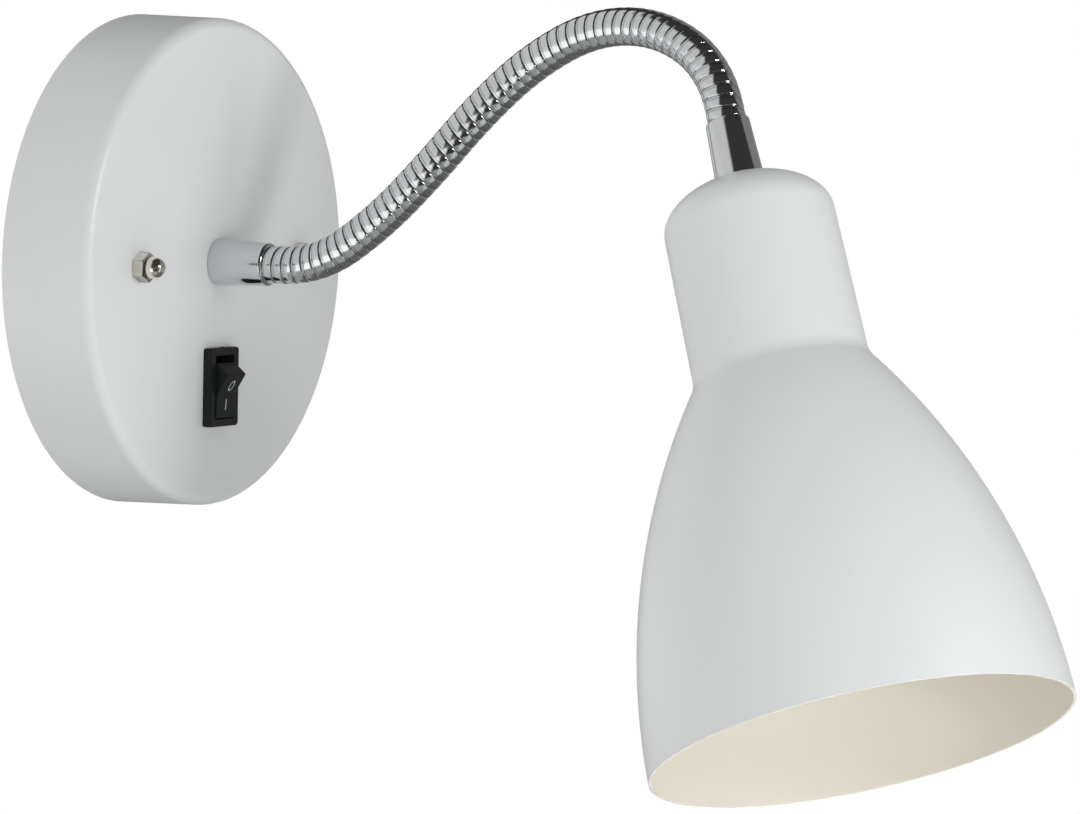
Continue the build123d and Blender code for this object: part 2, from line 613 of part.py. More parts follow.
def plunger_spring():
    """The spring over the plunger, as the sleeve that its close turns fill."""
    return in_rocker(ring(SPRING_RADIUS, PLUNGER_RADIUS + FIT_GAP, SPRING_FOOT, SPRING_TOP - FIT_GAP))


def contact_lever():
    """The rocking contact: a strip bent to a shallow valley, tilted to close the circuit."""
    reach = LEVER_ARM * cos(radians(LEVER_BEND))
    rise = LEVER_ARM * sin(radians(LEVER_BEND))
    under = LEVER_THICKNESS / cos(radians(LEVER_BEND))
    half = ((reach, rise), (reach, rise - under), (0, -under))
    strip = ((0, 0),) + half + ((-reach, rise - under), (-reach, rise))
    lever = profile_along_x(strip, LEVER_WIDTH / 2)
    pivot = Location((0, 0, LEVER_VALLEY - under))
    return pivot * Rot(-LEVER_TILT, 0, 0) * Location((0, 0, under)) * lever


def terminal_common():
    """The middle terminal: a tab below and a blade under the lever's valley above."""
    under = LEVER_THICKNESS / cos(radians(LEVER_BEND))
    top = LEVER_VALLEY - under - LEVER_GAP
    edge = TAB_THICKNESS / 2
    roof = ((-edge, top - 1), (-edge, top - edge), (0, top), (edge, top - edge), (edge, top - 1))
    tab = bar(TAB_WIDTH, TAB_THICKNESS, -SWITCH_DEPTH - TAB_LENGTH, top - 1)
    return tab + profile_along_x(roof, LEVER_WIDTH / 2)


def terminal_load():
    """The end terminal: a tab below, a shelf and the fixed contact under the lever's arm above."""
    rise = (CONTACT_AT - BUTTON_RADIUS - 0.1) * tan(radians(LEVER_BEND - LEVER_TILT))
    button_top = LEVER_VALLEY + rise - LEVER_THICKNESS - 0.1
    shelf = button_top - BUTTON_HEIGHT
    piece = bar(TAB_WIDTH, TAB_THICKNESS, -SWITCH_DEPTH - TAB_LENGTH, shelf, y=LOAD_TAB)
    inner = CONTACT_AT - SHELF_MARGIN
    outer = LOAD_TAB + TAB_THICKNESS / 2
    piece += bar(SHELF_WIDTH, outer - inner, shelf - SHELF_THICKNESS, shelf, y=(outer + inner) / 2)
    return piece + rod(BUTTON_RADIUS, shelf, button_top, y=CONTACT_AT)


# ---- shade and lampholder, in the head frame turned up so that z is the depth below the seat ----
def shade():
    """The spun shade: a domed crown, a straight neck and a bell that leaves the waist and closes in."""
    mouth = Vector(SHADE_MOUTH_RADIUS, SHADE_HEIGHT)
    waist = Vector(SHADE_WAIST_RADIUS, SHADE_WAIST)
    lean = radians(SHADE_MOUTH_LEAN)
    seat_edge = Vector(SHADE_SEAT_RADIUS, 0)
    crown_edge = Vector(SHADE_SHOULDER_RADIUS, DOME_DEPTH)
    outline = Line((0, 0), seat_edge)
    outline += Bezier(seat_edge, (15.2, 1.9), (21.6, 6.2), crown_edge)
    outline += Line(crown_edge, waist)
    outline += TangentArc(mouth, waist, tangent=(-sin(lean), -cos(lean)))
    outline += Polyline(mouth, (0, SHADE_HEIGHT), (0, 0))
    face = make_face(outline)
    corner = face.vertices().sort_by_distance(waist)[0]
    solid = revolve(Plane.XZ * fillet(corner, SHADE_WAIST_BEND), Axis.Z)
    solid = offset(solid, amount=-SHADE_WALL, openings=solid.faces().sort_by(Axis.Z)[-1])
    return solid - rod(TAIL_RADIUS + HOLE_GAP, -1, 10)


def shade_washer():
    """The plain washer under the crown."""
    top = SHADE_WALL
    return ring(SHADE_WASHER_RADIUS, TAIL_RADIUS + HOLE_GAP, top, top + SHADE_WASHER_THICKNESS)


def shade_nut():
    """The nut that clamps the shade against the head ferrule."""
    at = SHADE_WALL + SHADE_WASHER_THICKNESS
    return Location((0, 0, at)) * hex_nut(NUT_FLATS, NUT_HEIGHT, TAIL_RADIUS + THREAD_GAP)


def holder_cap():
    """The lampholder's upper shell, screwed on the tail."""
    thread = TAIL_RADIUS + THREAD_GAP
    inner = HOLDER_RADIUS - HOLDER_WALL
    neck_bottom = HOLDER_TOP + HOLDER_NECK_HEIGHT
    shoulder_bottom = neck_bottom + HOLDER_SHOULDER
    return turned((
        (thread, HOLDER_TOP), (HOLDER_NECK_RADIUS, HOLDER_TOP), (HOLDER_NECK_RADIUS, neck_bottom),
        (HOLDER_RADIUS, shoulder_bottom), (HOLDER_RADIUS, CAP_BOTTOM),
        (inner, CAP_BOTTOM), (inner, shoulder_bottom + 1),
        (HOLDER_NECK_RADIUS - 0.6, neck_bottom + 2), (thread, neck_bottom + 2),
    ))


def holder_skirt():
    """The lampholder's lower shell, with the collar that screws into the cap."""
    collar = HOLDER_RADIUS - HOLDER_WALL - FIT_GAP
    collar_top = CAP_BOTTOM - COLLAR_HEIGHT
    inner = collar - COLLAR_WALL
    below = inner - INSERT_LEDGE
    mouth = SOCKET_RADIUS + SOCKET_SHELL + SKIRT_MOUTH_GAP
    lip_top = SKIRT_BOTTOM - SKIRT_LIP
    waist_top = CAP_BOTTOM + SKIRT_GRIP
    waist = HOLDER_RADIUS - SKIRT_STEP
    return turned((
        (inner, collar_top), (collar, collar_top), (collar, CAP_BOTTOM), (HOLDER_RADIUS, CAP_BOTTOM),
        (HOLDER_RADIUS, waist_top), (waist, waist_top + 2), (waist - SKIRT_TAPER, SKIRT_BOTTOM),
        (mouth, SKIRT_BOTTOM), (mouth, lip_top), (below, lip_top), (below, INSERT_BOTTOM),
        (inner, INSERT_BOTTOM),
    ))


def holder_insert():
    """The insulating core: a disc with a pocket for the centre contact and a rib between the posts."""
    radius = HOLDER_RADIUS - HOLDER_WALL - COLLAR_WALL - 2 * FIT_GAP
    disc_top = INSERT_TOP + POST_HEIGHT
    core = rod(radius, disc_top, INSERT_BOTTOM - FIT_GAP)
    core += bar(INSERT_RIB, 2 * (radius - 2), INSERT_TOP, disc_top)
    core -= rod(POCKET_RADIUS, POCKET_FLOOR, INSERT_BOTTOM + 1)
    return core - rod(RIVET_RADIUS + FIT_GAP, INSERT_TOP, INSERT_BOTTOM + 1)


def screw_shell():
    """The brass shell that the lamp screws into, with a flange that stands on the core and a rolled lip."""
    outer = SOCKET_RADIUS + SOCKET_SHELL
    flange = outer + SOCKET_FLANGE
    lip = outer + SOCKET_LIP
    flange_bottom = SOCKET_TOP + SOCKET_SHELL
    lip_bottom = SOCKET_BOTTOM + SOCKET_SHELL
    return turned((
        (SOCKET_RADIUS, SOCKET_TOP), (flange, SOCKET_TOP), (flange, flange_bottom), (outer, flange_bottom),
        (outer, SOCKET_BOTTOM), (lip, SOCKET_BOTTOM), (lip, lip_bottom), (SOCKET_RADIUS, lip_bottom),
    ))


def centre_contact():
    """The rivet through the core and the sprung tongue in the pocket that meets the lamp's tip."""
    rivet = rod(RIVET_RADIUS, INSERT_TOP + POST_HEIGHT + 0.2, POCKET_FLOOR)
    foot = POCKET_FLOOR + CONTACT_THICKNESS
    tip = INSERT_BOTTOM - CONTACT_SUNK
    tongue = (
        (-3.4, POCKET_FLOOR), (3.0, POCKET_FLOOR), (3.0, foot), (-2.4, foot), (-1.6, foot + 0.5), (1.2, tip),
        (0.8, tip + CONTACT_THICKNESS), (-2.0, foot + 0.9), (-3.4, foot),
    )
    return rivet + profile_along_x(tongue, CONTACT_WIDTH / 2)


def holder_posts():
    """The two brass terminal posts on the core."""
    post = bar(POST_WIDTH, POST_LENGTH, INSERT_TOP, INSERT_TOP + POST_HEIGHT)
    return [Location((side * POST_OFFSET, 0, 0)) * post for side in (-1, 1)]


# ---- wires ----
def bent_route(points):
    """A wire's route in the wall frame: straight runs joined by tangent arcs as large as the runs allow."""
    spots = [Vector(*point) for point in points]
    runs = [(b - a).length for a, b in zip(spots, spots[1:])]
    radii = []
    for before, after, a, b, c in zip(runs, runs[1:], spots, spots[1:], spots[2:]):
        turn = radians((b - a).get_angle(c - b))
        radii.append(SHARE_OF_RUN * min(before, after) / tan(turn / 2))
    print("wire bends of radius " + ", ".join(f"{radius:.1f}" for radius in radii))
    return FilletPolyline(*spots, radius=radii)


def swept_core(edges):
    """One insulated core along a chain of edges."""
    path = Wire(edges)
    start = Plane(origin=path @ 0, z_dir=path % 0)
    core = sweep(start * Circle(CORE_RADIUS), path=path)
    exact = pi * CORE_RADIUS ** 2 * path.length
    print(f"core of {path.length:.1f} mm, volume {core.volume / exact:.4f} of its section times its length")
    return core


def on_wall(point):
    """A point of the wall frame in the lamp's own frame."""
    return WALL_FRAME.from_local_coords(Vector(*point))


POLE_MOUTH = BLOCK_CENTRE - BLOCK_LENGTH / 2 + 2
POLE_HEIGHT = BRACKET_THICKNESS + TUBE_AXIS
TAB_MIDDLE = PLATE_DEPTH - SWITCH_DEPTH - TAB_LENGTH / 2
COMMON_TAB = -SWITCH_DROP - TAB_THICKNESS / 2
LOAD_TAB_FACE = -SWITCH_DROP + LOAD_TAB + TAB_THICKNESS / 2


def feed_wire():
    """From the terminal block's live pole round the left of the plate to the switch's middle terminal."""
    points = (
        (-POLE_PITCH, POLE_MOUTH, POLE_HEIGHT), (-POLE_PITCH, 17, POLE_HEIGHT), (-16, 2, 7), (-17, -22, 8),
        (-11, -46, TAB_MIDDLE), (0, -46, TAB_MIDDLE), (0, COMMON_TAB, TAB_MIDDLE),
    )
    return swept_core(bent_route([on_wall(point) for point in points]).edges())


def earth_wire():
    """From the terminal block's middle pole to the ring tag on the base ferrule's tail."""
    inside_barrel = FRONT_INSIDE - TAG_THICKNESS - TAG_BARREL_LENGTH + 3
    points = (
        (0, POLE_MOUTH, POLE_HEIGHT), (0, 17.5, POLE_HEIGHT), (0, TAG_BARREL_AT, POLE_HEIGHT + 1.5),
        (0, TAG_BARREL_AT, inside_barrel),
    )
    return swept_core(bent_route([on_wall(point) for point in points]).edges())


def arm_core(side, lead):
    """A core that runs whole from the wall plate through the gooseneck to its post in the lampholder."""
    shift = Vector(side * CORE_OFFSET, 0, 0)
    entry = NECK_EDGES[0].position_at(0) + shift
    tail_mouth = Vector(entry.X, -(FRONT_INSIDE - 9), 0)
    route = [on_wall(point) for point in lead] + [Vector(entry.X, -4.6, 0), tail_mouth]
    edges = list(bent_route(route).edges())
    edges.append(Edge.make_line(tail_mouth, entry))
    edges += [edge.moved(Location(shift)) for edge in NECK_EDGES]
    leaving = HEAD_FRAME.to_local_coords(NECK_END + shift)
    bend_start = Vector(leaving.X, leaving.Y, HEAD_TAIL - 1)
    below_tail = Vector(leaving.X, leaving.Y, HEAD_TAIL + 1.5)
    above_post = Vector(side * POST_OFFSET, 0, HEAD_TAIL + 5.5)
    on_post = Vector(side * POST_OFFSET, 0, INSERT_TOP)
    tail_points = (bend_start, below_tail, above_post, on_post)
    tail_part = [HEAD_FRAME.from_local_coords(point) for point in tail_points]
    edges.append(Edge.make_line(NECK_END + shift, tail_part[0]))
    edges += list(bent_route(tail_part).edges())
    return swept_core(edges)


def live_wire():
    """The switched core, from the switch's load terminal."""
    return arm_core(-1, ((0, LOAD_TAB_FACE, TAB_MIDDLE), (0, -21, TAB_MIDDLE), (-0.6, -12, 5)))


def neutral_wire():
    """The return core, from the terminal block's right pole."""
    return arm_core(1, ((POLE_PITCH, POLE_MOUTH, POLE_HEIGHT), (POLE_PITCH, 19, POLE_HEIGHT), (6, 10, 5)))


# ---- assembly ----
WALL_PIECES = {
    "canopy": canopy, "mounting_bracket": mounting_bracket, "earth_tag": earth_tag,
    "tail_washer": tail_washer, "tail_nut": tail_nut, "terminal_block": terminal_block,
    "terminal_tubes": terminal_tubes, "clamp_screws": clamp_screws, "block_screw": block_screw,
}
STUD_PIECES = {"bracket_studs": bracket_stud, "stud_nuts": stud_nut, "cap_nuts": cap_nut}
SWITCH_PIECES = {
    "switch_housing": switch_housing, "switch_rocker": switch_rocker, "switch_plunger": switch_plunger,
    "plunger_spring": plunger_spring, "contact_lever": contact_lever, "terminal_common": terminal_common,
    "terminal_load": terminal_load,
}
HEAD_PIECES = {
    "shade": shade, "shade_washer": shade_washer, "shade_nut": shade_nut, "holder_cap": holder_cap,
    "holder_skirt": holder_skirt, "holder_insert": holder_insert, "screw_shell": screw_shell,
    "centre_contact": centre_contact, "holder_posts": holder_posts,
}
WIRES = {
    "feed_wire": feed_wire, "earth_wire": earth_wire, "live_wire": live_wire, "neutral_wire": neutral_wire,
}


def placed(location, piece):
    """A piece, or a group of like pieces, moved to its place."""
    if isinstance(piece, list):
        return Compound(children=[location * one for one in piece])
    return location * piece


def assemble():
    """Every piece in its place, by name."""
    wall = WALL_FRAME.location
    head = HEAD_FRAME.location
    pieces = {name: placed(wall, make()) for name, make in WALL_PIECES.items()}
    pieces.update({name: placed(wall, both_studs(make())) for name, make in STUD_PIECES.items()})
    pieces.update({name: placed(SWITCH_FRAME, make()) for name, make in SWITCH_PIECES.items()})
    pieces["base_ferrule"] = wall * Location((0, 0, PLATE_DEPTH)) * ferrule(BASE_TAIL)
    pieces.update({name: gooseneck_stretch(index) for index, name in enumerate(STRETCHES)})
    pieces["head_ferrule"] = head * Rot(180, 0, 0) * ferrule(HEAD_TAIL)
    pieces.update({name: placed(head, make()) for name, make in HEAD_PIECES.items()})
    pieces.update({name: make() for name, make in WIRES.items()})
    return pieces


def main():
    """Write one STEP file for each piece."""
    os.makedirs("parts", exist_ok=True)
    for name, piece in assemble().items():
        export_step(piece, f"parts/{name}.step")
    mouth = HEAD_FRAME.from_local_coords(Vector(0, 0, SHADE_HEIGHT))
    print(f"shade mouth at {mouth.X:.1f}, {mouth.Y:.1f}, {mouth.Z:.1f}")


main()
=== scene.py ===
# %% [markdown]
# # A bedside wall lamp, dressed in Blender
#
# The lamp is a round wall plate with a rocker switch, a ribbed gooseneck and a bell shade.
# The CAD model already fixes every size and every joint, so this lesson only gives it its looks:
# smooth turned shells, a ribbed hose, and finishes that answer to the light.
# The first step loads the imported model and its record.

# %% Load the imported model
import json
import math

import bmesh
import bpy
from mathutils import Matrix, Vector


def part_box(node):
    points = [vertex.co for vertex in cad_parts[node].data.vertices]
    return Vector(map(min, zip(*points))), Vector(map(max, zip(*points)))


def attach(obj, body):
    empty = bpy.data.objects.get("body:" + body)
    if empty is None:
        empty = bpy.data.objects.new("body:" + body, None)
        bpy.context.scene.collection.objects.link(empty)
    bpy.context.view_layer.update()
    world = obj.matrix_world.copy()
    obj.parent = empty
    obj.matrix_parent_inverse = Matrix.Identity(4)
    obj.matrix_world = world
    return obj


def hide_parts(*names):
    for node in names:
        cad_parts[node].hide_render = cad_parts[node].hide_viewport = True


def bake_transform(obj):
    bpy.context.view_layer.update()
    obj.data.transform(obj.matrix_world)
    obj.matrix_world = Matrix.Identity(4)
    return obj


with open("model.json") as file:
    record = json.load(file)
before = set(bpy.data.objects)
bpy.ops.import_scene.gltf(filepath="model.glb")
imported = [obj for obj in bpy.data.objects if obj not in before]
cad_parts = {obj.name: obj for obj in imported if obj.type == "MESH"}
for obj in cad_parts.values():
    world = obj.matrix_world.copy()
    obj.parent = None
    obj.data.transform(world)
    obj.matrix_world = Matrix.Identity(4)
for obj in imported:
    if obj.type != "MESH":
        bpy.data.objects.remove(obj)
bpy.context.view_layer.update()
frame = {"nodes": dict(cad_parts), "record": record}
MM = 0.001

# %% [markdown]
# ## Sizes that the pictures need
#
# A turned shell is drawn as a profile about its own axis, so each part of the lamp gets a frame of its own.
# The plate's frame has its z axis pointing out of the wall. The shade's frame has its z axis running down
# the shade from the seat of its ferrule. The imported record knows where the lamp's screw socket is and which
# way it points, and that gives the shade's axis without copying a number.

# %% Work out the frames of the plate and the shade
WALL = Matrix(((1, 0, 0, 0), (0, 0, -1, 0), (0, 1, 0, 0), (0, 0, 0, 1)))
mounts = {mount["name"]: mount for mount in frame["record"]["mounts"]}
SOCKET_MIDDLE = 40.7 * MM

shade_axis = Vector(mounts["lamp_socket"]["axis"]).normalized()
shade_seat = Vector(mounts["lamp_socket"]["pos_m"]) - shade_axis * SOCKET_MIDDLE
level = (Vector((1, 0, 0)) - shade_axis * shade_axis.x).normalized()
across = shade_axis.cross(level)
SHADE = Matrix((
    (level.x, across.x, shade_axis.x, shade_seat.x),
    (level.y, across.y, shade_axis.y, shade_seat.y),
    (level.z, across.z, shade_axis.z, shade_seat.z),
    (0, 0, 0, 1),
))
plate_low, plate_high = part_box("canopy")
PLATE_RADIUS = plate_high[0]
PLATE_DEPTH = -plate_low[1]
print(f"plate {PLATE_RADIUS * 2000:.1f} mm across and {PLATE_DEPTH * 1000:.1f} mm deep")
print("shade axis", [round(value, 3) for value in shade_axis])

# %% [markdown]
# ## Node maths written as Python
#
# A shader or a geometry tree is easier to read as an expression than as a list of links. This class wraps one
# socket. Adding, subtracting, multiplying or dividing two of them, or one and a number, adds a Math node.
# Its `node` method makes any other node: the type, the settings, then the values or links of its sockets.

# %% Wrap a socket
class Signal:
    """One output socket of a node tree."""

    def __init__(self, tree, socket=None):
        self.tree = tree
        self.socket = socket

    def node(self, kind, settings=None, inputs=None, output=0):
        """Add a node and return one of its outputs."""
        made = self.tree.nodes.new(kind)
        for name, value in (settings or {}).items():
            if name == "stops":
                while len(made.color_ramp.elements) < len(value):
                    made.color_ramp.elements.new(0.5)
                for element, (position, grey) in zip(made.color_ramp.elements, value):
                    element.position = position
                    element.color = (grey, grey, grey, 1)
            elif name == "captures":
                for item_kind, item_name in value:
                    made.capture_items.new(item_kind, item_name)
            else:
                setattr(made, name, value)
        for name, value in (inputs or {}).items():
            if isinstance(value, Signal):
                self.tree.links.new(value.socket, made.inputs[name])
            else:
                made.inputs[name].default_value = value
        return Signal(self.tree, made.outputs[output])

    def other(self, output):
        """Another output of the same node."""
        return Signal(self.tree, self.socket.node.outputs[output])

    def math(self, operation, first, second=0.0):
        return self.node("ShaderNodeMath", {"operation": operation}, {0: first, 1: second})

    def vector(self, operation, first, second=(0, 0, 0), output=0):
        return self.node("ShaderNodeVectorMath", {"operation": operation}, {0: first, 1: second}, output)

    def clamp(self):
        return self.math("MAXIMUM", self.math("MINIMUM", self, 1.0), 0.0)

    def __add__(self, other):
        return self.math("ADD", self, other)

    def __sub__(self, other):
        return self.math("SUBTRACT", self, other)

    def __rsub__(self, other):
        return self.math("SUBTRACT", other, self)

    def __mul__(self, other):
        return self.math("MULTIPLY", self, other)

    def __truediv__(self, other):
        return self.math("DIVIDE", self, other)

    __radd__ = __add__
    __rmul__ = __mul__


# %% [markdown]
# ## A place to start each finish
#
# Every finish here is one Principled shader. What is the same all over is set on the shader itself; what
# changes over the surface is an expression fed into its colour, its roughness or its bump. The patterns read
# Object coordinates in metres, so a noise scale of 1000 makes grains about a millimetre wide.

# %% Helpers for finishes
def start_finish(name, color, roughness, metallic=0.0, **constants):
    """A material, its Principled node and a Signal to build its patterns from."""
    material = bpy.data.materials.new(name)
    material.use_nodes = True
    tree = material.node_tree
    shader = tree.nodes["Principled BSDF"]
    shader.inputs["Base Color"].default_value = (*color, 1)
    shader.inputs["Roughness"].default_value = roughness
    shader.inputs["Metallic"].default_value = metallic
    for key, value in constants.items():
        shader.inputs[key.replace("_", " ").title().replace("Ior", "IOR")].default_value = value
    place = Signal(tree).node("ShaderNodeTexCoord", output="Object")
    print("finish:", name)
    return material, shader, place


def feed(shader, name, signal):
    """Link a signal to one of the shader's sockets."""
    signal.tree.links.new(signal.socket, shader.inputs[name])


# %% Patterns, colours and bumps
def noise(place, scale, detail=3.0, roughness=0.5):
    """Cloudy noise between 0 and 1."""
    return place.node(
        "ShaderNodeTexNoise", {}, {"Vector": place, "Scale": scale, "Detail": detail, "Roughness": roughness}
    )


def stretched(place, x, y, z):
    """The same place with each axis stretched, for grain that runs one way."""
    return place.vector("MULTIPLY", place, (x, y, z))


def blended(share, low, high):
    """Two colours, each a signal or four numbers, mixed by a share from 0 to 1."""
    return share.node(
        "ShaderNodeMix", {"data_type": "RGBA"}, {"Factor": share, "A": low, "B": high}, "Result"
    )


def between(low, high, share):
    """A colour that goes from one plain colour to another as the share goes from 0 to 1."""
    return blended(share, (*low, 1), (*high, 1))


def scaled(color, factor):
    """A plain colour made darker or lighter."""
    return tuple(value * factor for value in color)


def mesh_mark(place, name):
    """A value between 0 and 1 that the mesh carries on its points."""
    return place.node("ShaderNodeAttribute", {"attribute_name": name}, {}, "Fac")


def bump(shader, height, strength, distance):
    """Dent the surface by a height signal; distance is in metres."""
    feed(shader, "Normal", height.node(
        "ShaderNodeBump", {}, {"Height": height, "Strength": strength, "Distance": distance}, "Normal"
    ))


# %% [markdown]
# ## The finishes
#
# White paint is never one flat white. It has a very fine orange-peel skin, faint cloudiness from the spray
# and a little dust. The skin is a bump, the clouds take up to three hundredths off the colour, and the same
# clouds move the gloss. The colour is warmer on the inside of the shade, where the paint reads a mark on the
# mesh, called Inner.

# %% White paint, outside and inside
def paint_finish(name, outside, inside):
    """Sprayed satin paint; a mesh attribute called Inner is 1 where the inside colour goes."""
    material, shader, place = start_finish(
        name, outside, 0.36, coat_weight=0.12, coat_roughness=0.22
    )
    clouds = noise(place, 34.0, 4.0)
    peel = noise(place, 1500.0, 2.0)
    grains = place.node(
        "ShaderNodeTexVoronoi", {"feature": "F1"}, {"Vector": place, "Scale": 260.0}, "Distance"
    )
    picked = place.math("GREATER_THAN", noise(place, 60.0), 0.62)
    dust = place.math("LESS_THAN", grains, 0.055) * picked
    cool = between(scaled(outside, 0.965), outside, clouds)
    warm = between(scaled(inside, 0.97), inside, clouds)
    sides = blended(mesh_mark(place, "Inner"), cool, warm)
    feed(shader, "Base Color", blended(dust * 0.25, sides, (0.42, 0.41, 0.39, 1)))
    feed(shader, "Roughness", 0.31 + clouds * 0.10)
    bump(shader, peel + clouds * 0.6, 0.10, 0.00006)
    return material


white_paint = paint_finish("white_paint", (0.79, 0.806, 0.811), (0.82, 0.785, 0.70))

# %% [markdown]
# Polished plate shows the room more than itself, so the work is in its small faults: smudges that dull the
# gloss in patches and hairline polishing marks. Nickel is the same recipe with a warmer metal. In a narrow
# gap the plate sees mostly itself and looks nearly black, so that shade is painted into its colour where a
# mark on the mesh, called Groove, says so; on the hose the same mark also holds the strip's seam.

# %% Chrome and nickel plate
def plate_finish(name, color, roughness, marks):
    """Polished metal plate with smudges and fine polishing marks, and painted shade where the mesh says
    Groove.
    """
    material, shader, place = start_finish(name, color, roughness, 1.0)
    smudges = noise(place, 160.0, 5.0, 0.6)
    hairlines = noise(stretched(place, 300.0, 9000.0, 1200.0), 1.0, 2.0)
    shine = between(scaled(color, 0.9), color, smudges)
    # Painted shade: the colour turns near black in grooves and gaps, and along the hose strip's seam.
    groove = mesh_mark(place, "Groove") * 0.7
    feed(shader, "Base Color", blended(groove, shine, (0.05, 0.05, 0.05, 1)))
    feed(shader, "Roughness", roughness + smudges * 0.06 + hairlines * 0.03)
    bump(shader, hairlines, marks, 0.00001)
    return material


chrome = plate_finish("chrome", (0.74, 0.755, 0.765), 0.05, 0.06)
nickel = plate_finish("nickel", (0.90, 0.86, 0.76), 0.10, 0.08)

# %% [markdown]
# Zinc plate has a spangle: crystals a few millimetres across, each a slightly different grey.
# Brass darkens in patches where it has been handled.

# %% Zinc-plated steel and brass
def zinc_finish():
    """Bright zinc plate: cells of slightly different greys, rubbed along X."""
    material, shader, place = start_finish("zinc_steel", (0.62, 0.63, 0.64), 0.34, 1.0)
    cells = place.node("ShaderNodeTexVoronoi", {"feature": "F1"}, {"Vector": place, "Scale": 420.0}, "Color")
    shade_of = cells.node("ShaderNodeSeparateColor", {}, {"Color": cells}, "Red")
    rubbed = noise(stretched(place, 200.0, 5000.0, 5000.0), 1.0, 2.0)
    feed(shader, "Base Color", between((0.50, 0.51, 0.52), (0.66, 0.67, 0.68), shade_of))
    feed(shader, "Roughness", 0.26 + shade_of * 0.12 + rubbed * 0.08)
    bump(shader, rubbed, 0.12, 0.00002)
    return material


def brass_finish():
    """Pressed brass with a patchy tarnish."""
    material, shader, place = start_finish("brass", (0.78, 0.58, 0.28), 0.26, 1.0)
    tarnish = noise(place, 300.0, 5.0, 0.65)
    feed(shader, "Base Color", between((0.55, 0.38, 0.16), (0.82, 0.63, 0.32), tarnish))
    feed(shader, "Roughness", 0.42 - tarnish * 0.2)
    bump(shader, noise(place, 2600.0, 2.0), 0.10, 0.00002)
    return material


zinc_steel = zinc_finish()
brass = brass_finish()

# %% [markdown]
# A moulded part takes the skin of its mould. The switch has the fine matt grain of a spark-eroded mould,
# which scatters light enough to turn black plastic dark grey. The lampholder is smoother, and the terminal
# block is milky. One function makes all of them from a colour, a gloss and the size of the grain.

# %% Moulded plastics
def moulded_finish(name, color, roughness, grain, depth, **constants):
    """Injection-moulded plastic: a fine grain, faint flow clouds and a slightly uneven gloss."""
    material, shader, place = start_finish(name, color, roughness, **constants)
    skin = noise(place, grain, 3.0, 0.6)
    flow = noise(place, 90.0, 4.0)
    paler = tuple(min(1.0, value * 1.08 + 0.004) for value in color)
    feed(shader, "Base Color", between(scaled(color, 0.92), paler, flow))
    feed(shader, "Roughness", roughness - 0.05 + flow * 0.06 + skin * 0.05)
    bump(shader, skin, depth, 0.00003)
    return material


switch_black = moulded_finish(
    "switch_black", (0.011, 0.0135, 0.013), 0.46, 3200.0, 0.30, specular_ior_level=0.22
)
nylon = moulded_finish("nylon", (0.80, 0.80, 0.75), 0.38, 1500.0, 0.10)
holder_plastic = moulded_finish("holder_plastic", (0.78, 0.76, 0.70), 0.34, 1300.0, 0.08)
printed_white = moulded_finish("printed_white", (0.52, 0.54, 0.54), 0.55, 4200.0, 0.20)

# %% [markdown]
# Wire insulation is soft and slightly wavy. The earth wire is green with a yellow stripe that follows the
# wire. Its route lies in the plane x = 0, so the stripe is simply where x is small.

# %% Wire insulation
HALF_STRIPE = 0.32 * MM


def insulation_finish(name, color, stripe=None):
    """Extruded insulation, with a stripe along the plane x = 0 if a second colour is given."""
    material, shader, place = start_finish(name, color, 0.42)
    waves = noise(place, 420.0, 3.0)
    shown = between(scaled(color, 0.85), color, waves)
    if stripe:
        x = place.node("ShaderNodeSeparateXYZ", {}, {"Vector": place}, "X")
        band = x.math("LESS_THAN", x.math("ABSOLUTE", x), HALF_STRIPE)
        shown = blended(band, shown, (*stripe, 1))
    feed(shader, "Base Color", shown)
    feed(shader, "Roughness", 0.36 + waves * 0.12)
    bump(shader, waves, 0.10, 0.00004)
    return material


brown_insulation = insulation_finish("brown_insulation", (0.13, 0.055, 0.022))
blue_insulation = insulation_finish("blue_insulation", (0.02, 0.09, 0.36))
earth_insulation = insulation_finish("earth_insulation", (0.04, 0.22, 0.03), (0.75, 0.60, 0.03))
print("materials in the file, with those of the CAD pieces:", len(bpy.data.materials))

# %% [markdown]
# ## Turned shells
#
# The plate, the shade, the ferrules and the domes of the nuts are all turned or spun on the real lamp, so
# they are drawn here the same way: half a section, turned about an axis. Corners are rounded in the section
# itself, which costs a few points and never fails as a bevel can. The section is a closed loop, so the shell
# has its true wall and is closed.

# %% Round the corners of a section
def turned(spoke, angle):
    """A flat vector turned by an angle."""
    return Vector((
        spoke.x * math.cos(angle) - spoke.y * math.sin(angle),
        spoke.x * math.sin(angle) + spoke.y * math.cos(angle),
    ))


def rounded(corners, steps=6):
    """A section from corners (radius, height, rounding): each corner becomes an arc tangent to both runs."""
    points = []
    count = len(corners)
    for index, (r, h, size) in enumerate(corners):
        here = Vector((r, h))
        if size == 0:
            points.append(here)
            continue
        before = Vector(corners[index - 1][:2]) - here
        after = Vector(corners[(index + 1) % count][:2]) - here
        half = before.angle(after) / 2
        reach = size / math.tan(half)
        start = here + before.normalized() * reach
        middle = here + (before.normalized() + after.normalized()).normalized() * size / math.sin(half)
        sweep = math.pi - 2 * half
        turn = 1 if before.x * after.y - before.y * after.x < 0 else -1
        for step in range(steps + 1):
            points.append(middle + turned(start - middle, turn * sweep * step / steps))
    return points


# %% Turn a section about its axis
ON_AXIS = 1e-7


